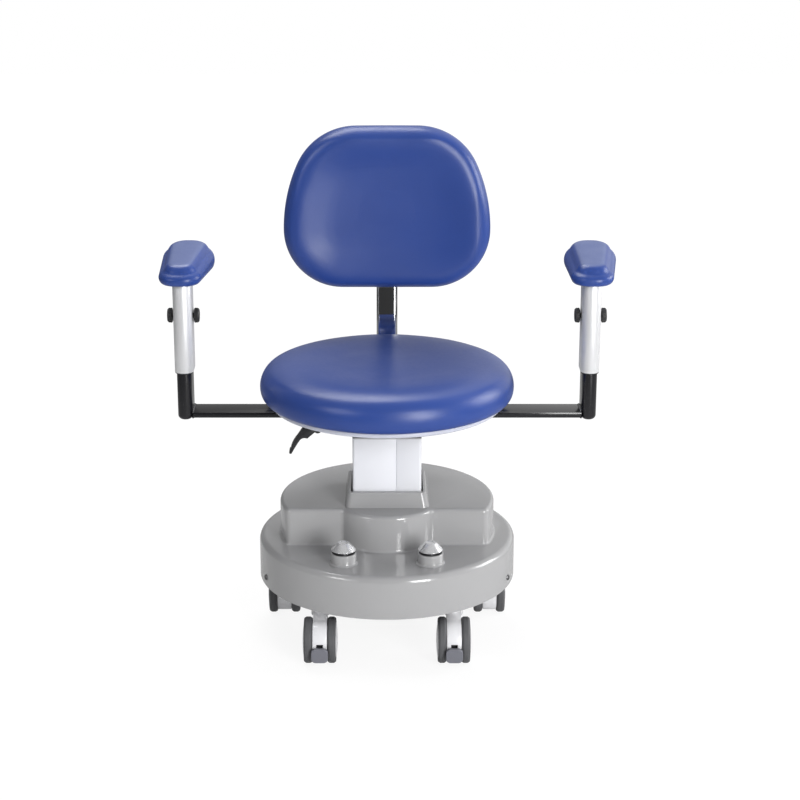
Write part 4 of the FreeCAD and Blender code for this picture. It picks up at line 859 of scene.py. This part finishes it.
def castor_wheels(number):
    """Two wheels on an axle: grey tyres with rounded shoulders on white domed hubs."""
    low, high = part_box(f"castor_{number}_wheels")
    centre = (low + high) / 2
    radius = (high.z - low.z) / 2 / MM
    reach = (high.x - low.x) / 2 / MM
    inner, outer = 11.3, reach - 2.0
    tyre = rounded([(radius - 11, inner + 0.9, 0), (radius - 9, inner + 0.4, 0.5),
                    (radius - 2.2, inner + 0.1, 1.2), (radius, inner + 3.2, 2.6), (radius, outer - 3.4, 2.6),
                    (radius - 2.4, outer - 0.2, 1.4), (radius - 6.4, outer - 0.7, 0.5),
                    (radius - 7.2, outer - 2.4, 0.4), (radius - 11, outer - 2.4, 0)])
    hub = rounded([(0.1, outer + 1.9, 0), (5.4, outer + 1.9, 0.5), (6.2, outer + 1.0, 0.3),
                   (7.4, outer + 1.0, 0.3), (8.2, outer + 1.8, 0.5), (16, outer + 1.35, 6),
                   (radius - 9.4, outer + 0.2, 3), (radius - 7.6, outer - 1.2, 0.6),
                   (radius - 7.4, inner + 0.8, 0.5), (8, inner + 0.8, 0.5), (7.4, inner + 0.2, 0.2),
                   (0.1, inner + 0.2, 0)])
    tyres = [moved(turned(tyre, 112, closed=True), centre, (sign, 0, 0)) for sign in (-1, 1)]
    hubs = [moved(turned(hub, 96), centre, (sign, 0, 0)) for sign in (-1, 1)]
    axle = rounded([(0.1, -inner - 1, 0), (4, -inner - 1, 0.2), (4, inner + 1, 0.2), (0.1, inner + 1, 0)])
    axle = moved(turned(axle, 32), centre, (1, 0, 0))
    body = f"wheels_{number}"
    add_piece(f"castor_{number}_tyres", joined(tyres), body, "tyre_grey", (f"castor_{number}_wheels",))
    add_piece(f"castor_{number}_hubs", joined(hubs), body, "castor_white")
    add_piece(f"castor_{number}_axle", axle, body, "bare_steel")


def notch_shade_sheets(number):
    """Black sheets lining the notch in a castor's hood, above its brake pedal: painted shade for the recess.
    """
    low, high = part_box(f"castor_{number}_fork")
    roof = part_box(f"castor_{number}_pedal")[1].z + 2.9 * MM
    across, back = (low.x + high.x) / 2, low.y + 5.9 * MM
    wide, deep, tall, sheet = 9.8 * MM, 5.2 * MM, 8 * MM, 0.4 * MM
    black_shade_sheets = [block((across, back - sheet / 2, roof - tall / 2), (wide, sheet, tall)),
              block((across, back - deep / 2, roof - sheet / 2), (wide, deep, sheet))]
    for sign in (-1, 1):
        black_shade_sheets.append(block((across + sign * (wide - sheet) / 2, back - deep / 2, roof - tall / 4),
                            (sheet, deep, tall / 2)))
    add_piece(f"castor_{number}_notch", joined(black_shade_sheets), BODY_OF[f"castor_{number}_fork"], "black_plastic")


# Controls and fittings

def foot_button(side):
    """A turned bright cap with a flat top, a crisp cone and a thin rim, over a black ring of painted shade
    that darkens the gap beneath it.
    """
    node = f"foot_button_{side}"
    low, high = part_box(node)
    centre = (low + high) / 2
    top, stem, rim = high.z / MM, low.z / MM, (high.x - low.x) / 2 / MM
    base = top - BUTTON_HEIGHT
    profile = rounded([(0.1, top - 0.5, 0), (5.0, top - 0.5, 0.4), (5.6, top - 0.1, 0.3),
                       (8.3, top - 0.1, 0.6), (rim - 0.1, base + 1.1, 0.4), (rim - 0.4, base, 0.3),
                       (8.0, base, 0.2), (8.0, stem, 0.3), (0.1, stem, 0)])
    mesh = moved(turned(profile, 96), (centre.x, centre.y, 0.0))
    add_piece(f"{node}_cap", mesh, f"button_{side}", "chrome", (node,), 40, BUTTON_CHROME)
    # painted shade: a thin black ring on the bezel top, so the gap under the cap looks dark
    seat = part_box("button_bezels")[1].z / MM
    inner, outer, under, over = 8.7, 17.6, seat - 0.2, seat + 0.05
    gap_shade_ring = ((inner, under), (outer, under), (outer, over), (inner, over))
    mesh = moved(turned(gap_shade_ring, 64, closed=True), (centre.x, centre.y, 0.0))
    add_piece(f"{node}_washer", mesh, "base", "black_plastic")


def clamp_knobs(side):
    """The arm clamp: a bolt through the sleeve with a ribbed black knob on each end."""
    node = f"arm_clamp_{side}"
    low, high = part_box(node)
    centre = (low + high) / 2
    reach = (high.x - low.x) / 2 / MM
    rim = (high.z - low.z) / 2 / MM
    face = rounded([(0.1, reach - 0.9, 0), (6.4, reach - 0.9, 0.4), (7.2, reach - 0.1, 0.4),
                    (rim - 2.2, reach - 0.1, 0.8), (rim - 0.7, reach - 1.6, 0.8),
                    (rim - 0.7, reach - 7.0, 0.6), (rim - 1.8, reach - 8, 0.4), (4.2, reach - 8, 0.3),
                    (4.0, reach - 10, 0.2), (4.0, 0.0, 0), (0.1, 0.0, 0)])
    sizes = {"Rim radius": (rim - 1.1) * MM, "Rib radius": 1.05 * MM, "Rib length": 5.4 * MM,
             "Rib height": (reach - 7.1) * MM, "Ribs": 24, "Finish": FINISHES["black_plastic"]}
    knobs = [moved(grown(GRIP, turned(face, 72), sizes), centre, (sign, 0, 0)) for sign in (-1, 1)]
    add_piece(f"{node}_knobs", joined(knobs), f"clamp_{side}", "black_plastic", (node,), 40)


def back_knob():
    """A lobed knob on the slider at the back, with a sunk face."""
    low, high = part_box("back_knob")
    centre = (low + high) / 2
    rim, end, start = (high.x - low.x) / 2 / MM, high.y / MM, low.y / MM
    profile = rounded([(0.1, end - 2.2, 0), (9.5, end - 2.2, 1.0), (10.8, end - 0.1, 1.0),
                       (rim - 4, end - 0.1, 1.6), (rim, end - 4, 2.4), (rim, end - 13.2, 1.8),
                       (rim - 2.4, end - 15.0, 1.0), (9, end - 15.0, 0.6), (9, end - 17.6, 0.3),
                       (4, end - 17.6, 0.2), (4, start, 0.3), (0.1, start, 0)])
    mesh = moved(turned(profile, 168, lobes=7, bite=2.6), (centre.x, 0.0, centre.z), (0, 1, 0))
    add_piece("back_knob_grip", mesh, "back_knob", "black_plastic", ("back_knob",), 40)


def screws():
    """Cross-head screws on the skirt and on the slider."""
    low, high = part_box("cover_screws")
    radius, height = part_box("base_cover")[1].x, (low.z + high.z) / 2
    angles = [math.radians(angle) for angle in SKIRT_SCREWS]
    facings = [(math.cos(angle), math.sin(angle), 0.0) for angle in angles]
    places = [(radius * x, radius * y, height) for x, y, _ in facings]
    sizes = {"Head radius": 4.8 * MM, "Head height": 2.3 * MM, "Finish": DARK_STEEL}
    mesh = grown(SCREWS, spots(places, facings), sizes)
    add_piece("cover_screw_heads", mesh, "base", SLOT_OF["cover_screws"], ("cover_screws",), 30, DARK_STEEL)
    low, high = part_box("back_screws")
    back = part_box("back_slider")[1].y
    edge = 4.2 * MM
    places = [(x, back, z) for x in (low.x + edge, high.x - edge) for z in (low.z + edge, high.z - edge)]
    sizes = {"Head radius": 4.2 * MM, "Head height": 2.4 * MM, "Finish": FINISHES["bare_steel"]}
    mesh = grown(SCREWS, spots(places, [(0.0, 1.0, 0.0)] * 4), sizes)
    add_piece("back_screw_heads", mesh, "backrest", SLOT_OF["back_screws"], ("back_screws",), 30)


def oval(width, depth, count=96):
    """Points (x, y) round an oval with straight sides, its ends half circles, in millimetres."""
    bend = width / 2
    straight = depth / 2 - bend
    loop = []
    for turn in range(count):
        angle = math.tau * turn / count
        x, y = bend * math.cos(angle), bend * math.sin(angle)
        loop.append((x, y + math.copysign(straight, y)))
    return loop


def sleeve_liners(side):
    """A thin black guide ring in the mouth of an arm sleeve."""
    low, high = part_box(f"arm_sleeve_{side}")
    centre = (low + high) / 2
    section = ((23.7, 50.7, -1.6), (27.4, 54.4, -1.6), (27.9, 54.9, -1.1), (27.9, 54.9, 0.1),
               (23.7, 50.7, 0.1))
    rings = []
    for width, depth, height in section:
        rings.append([(centre.x + x * MM, centre.y + y * MM, low.z + height * MM)
                      for x, y in oval(width, depth)])
    add_piece(f"arm_sleeve_{side}_liner", skin(rings, closed=True), f"arm_{side}", "black_plastic", crease=30)


def inlet_pins():
    """Three flat contact pins in the mains inlet."""
    low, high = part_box("power_inlet")
    centre = (low + high) / 2
    pins = []
    for across, up in ((-5.0, -2.0), (5.0, -2.0), (0.0, 2.2)):
        spot = (centre.x + across * MM, high.y - 9.5 * MM, centre.z + up * MM)
        pins.append(softened(block(spot, (2.0 * MM, 11.0 * MM, 3.6 * MM)), 0.5))
    add_piece("power_inlet_pins", joined(pins), "base", "bare_steel")


def welds():
    """Weld runs where the arm bars meet the posts."""
    sizes = {"Spacing": 1.7 * MM, "Scale radius": 1.7 * MM, "Finish": FINISHES["black_steel"]}
    for side, sign in SIDES.items():
        low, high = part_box(f"arm_bar_{side}")
        end = high.x if sign > 0 else low.x
        depth = (high.y - low.y) / 2 - 2 * MM
        for label, height in (("top", high.z), ("bottom", low.z)):
            points = [(end - sign * 0.4 * MM, -depth + 2 * depth * step / 20, height) for step in range(21)]
            mesh = grown(WELD, run(points), sizes)
            add_piece(f"arm_weld_{label}_{side}", mesh, BODY_OF[f"arm_bar_{side}"], "black_steel", crease=60)


# Studio

# Name, place, width and height in metres, power in watts
LAMPS = (
    ("right_box", (1.5, -2.7, 0.98), 0.9, 1.9, 80.0),
    ("left_box", (-2.2, -2.2, 1.8), 0.7, 0.7, 9.0),
    ("window", (2.5, 0.4, 1.2), 1.2, 1.2, 34.0),
    ("overhead", (-0.45, 0.75, 2.3), 1.5, 1.0, 30.0),
)


def light_paths(tree):
    """Masks that are 1 for the camera's own rays and for mirrored rays."""
    paths = tree.nodes.new("ShaderNodeLightPath")
    return (Wire(tree, paths.outputs[name]) for name in ("Is Camera Ray", "Is Glossy Ray"))


def studio():
    """White floor and surroundings, soft lamps from above, right and left, and the camera."""
    scene.view_settings.view_transform = "Standard"
    world = bpy.data.worlds.new("studio")
    scene.world = world
    world.use_nodes = True
    tree = world.node_tree
    ground = tree.nodes["Background"]
    camera_ray, glossy_ray = light_paths(tree)
    aim = Wire(tree, tree.nodes.new("ShaderNodeTexCoord").outputs["Generated"])
    across, rise = part_of(aim, 0), part_of(aim, 2)
    right = ramp(across, -0.5, 0.6)
    behind = ramp(part_of(aim, 1), -0.3, 0.5)
    above = ramp(rise, 0.5, 0.95)
    screen = (1 - ramp(across, -0.52, -0.42)) * ramp(across, -0.80, -0.70)
    screen = screen * ramp(rise, 0.22, 0.28) * (1 - ramp(rise, 0.48, 0.54)) * (1 - behind)
    mirrored = 0.05 + behind * (0.16 + right * 0.9) + above * 0.4 + screen * 4.0
    strength = camera_ray + (1 - camera_ray) * (glossy_ray * mirrored + (1 - glossy_ray) * 0.33)
    tree.links.new(strength.socket, ground.inputs["Strength"])
    ground.inputs["Color"].default_value = (1.0, 1.0, 1.0, 1.0)

    made = bmesh.new()
    bmesh.ops.create_grid(made, x_segments=8, y_segments=8, size=6.0)
    mesh = bpy.data.meshes.new("floor")
    made.to_mesh(mesh)
    made.free()
    floor = bpy.data.objects.new("floor", mesh)
    scene.collection.objects.link(floor)
    pale = bpy.data.materials.new("pale_floor")
    pale.use_nodes = True
    tree = pale.node_tree
    shader = tree.nodes["Principled BSDF"]
    place = Wire(tree, tree.nodes.new("ShaderNodeTexCoord").outputs["Object"])
    mottle = noise(place, 3.0, 3.0)
    place.join(tint(mottle, (0.90, 0.90, 0.90), (0.92, 0.92, 0.92)), shader.inputs["Base Color"])
    shader.inputs["Roughness"].default_value = 0.9
    shader.inputs["Specular IOR Level"].default_value = 0.0
    camera_ray, glossy_ray = light_paths(tree)
    glow = tree.nodes.new("ShaderNodeEmission")
    away = ramp(place.node("ShaderNodeVectorMath", {"operation": "LENGTH"}, {0: place}, 1), 0.7, 2.2)
    mirrored = tint(away, (0.40, 0.40, 0.40), (0.06, 0.06, 0.06))
    place.join(tint(camera_ray, mirrored, (1.05, 1.05, 1.05)), glow.inputs["Color"])
    glowing = camera_ray * (0.85 + away * 0.15) + glossy_ray * 0.8
    mixed = place.node("ShaderNodeMixShader", {}, {0: glowing, 1: Wire(tree, shader.outputs[0]),
                                                   2: Wire(tree, glow.outputs[0])})
    tree.links.new(mixed.socket, tree.nodes["Material Output"].inputs["Surface"])
    mesh.materials.append(pale)

    for label, place, wide, tall, power in LAMPS:
        lamp = bpy.data.lights.new(label, "AREA")
        lamp.shape = "RECTANGLE"
        lamp.size = wide
        lamp.size_y = tall
        lamp.energy = power
        stand = bpy.data.objects.new(label, lamp)
        stand.location = place
        stand.rotation_euler = (Vector((0.0, 0.0, 0.35)) - Vector(place)).to_track_quat("-Z", "Y").to_euler()
        scene.collection.objects.link(stand)

    lens = bpy.data.cameras.new("camera")
    lens.sensor_width = 36.0
    lens.lens = 88.84
    lens.shift_x = 0.01625
    camera = bpy.data.objects.new("camera", lens)
    camera.location = (0.0, -2.9069, 1.2818)
    camera.rotation_euler = (math.pi / 2 - 0.3060, 0.0, 0.0)
    scene.collection.objects.link(camera)
    scene.camera = camera


# Assembly

# Nodes shown in their own shape, with the rounding of their edges in millimetres
DRESSED = {
    "base_cover": 0.0, "base_plate": 0.6, "button_bezels": 0.4, "castor_stems": 0.3, "column_outer": 0.5,
    "column_glide": 0.4, "column_inner": 0.4, "column_head": 0.5, "swivel_ring": 0.4, "seat_frame": 0.5,
    "seat_bolts": 0.4, "seat_pan": 0.4, "seat_board": 0.3, "tilt_lever": 0.8, "back_hinge_bracket": 0.5,
    "back_hinge_pin": 0.4, "back_bar": 0.0, "back_slider": 0.8, "back_shell": 0.6, "power_inlet": 0.3,
}

for side in SIDES:
    DRESSED.update({f"arm_bar_{side}": 0.8, f"arm_post_{side}": 0.3, f"arm_sleeve_{side}": 0.5,
                    f"arm_pad_plate_{side}": 0.4})
for number in CASTORS:
    DRESSED[f"castor_{number}_fork"] = 0.8
for number in BRAKED:
    DRESSED[f"castor_{number}_pedal"] = 0.8

studio()
for node, edge in DRESSED.items():
    dressed(node, edge)
seat_upholstery()
back_upholstery()
for side in SIDES:
    arm_pad_skin(side)
    foot_button(side)
    clamp_knobs(side)
    sleeve_liners(side)
for number in CASTORS:
    castor_wheels(number)
# painted shade: black sheets in the notch above each brake pedal
for number in BRAKED:
    notch_shade_sheets(number)
back_knob()
screws()
inlet_pins()
welds()
for node, shape in NODES.items():
    for holder in shape.material_slots:
        holder.material = FINISHES[SLOT_OF[node]]
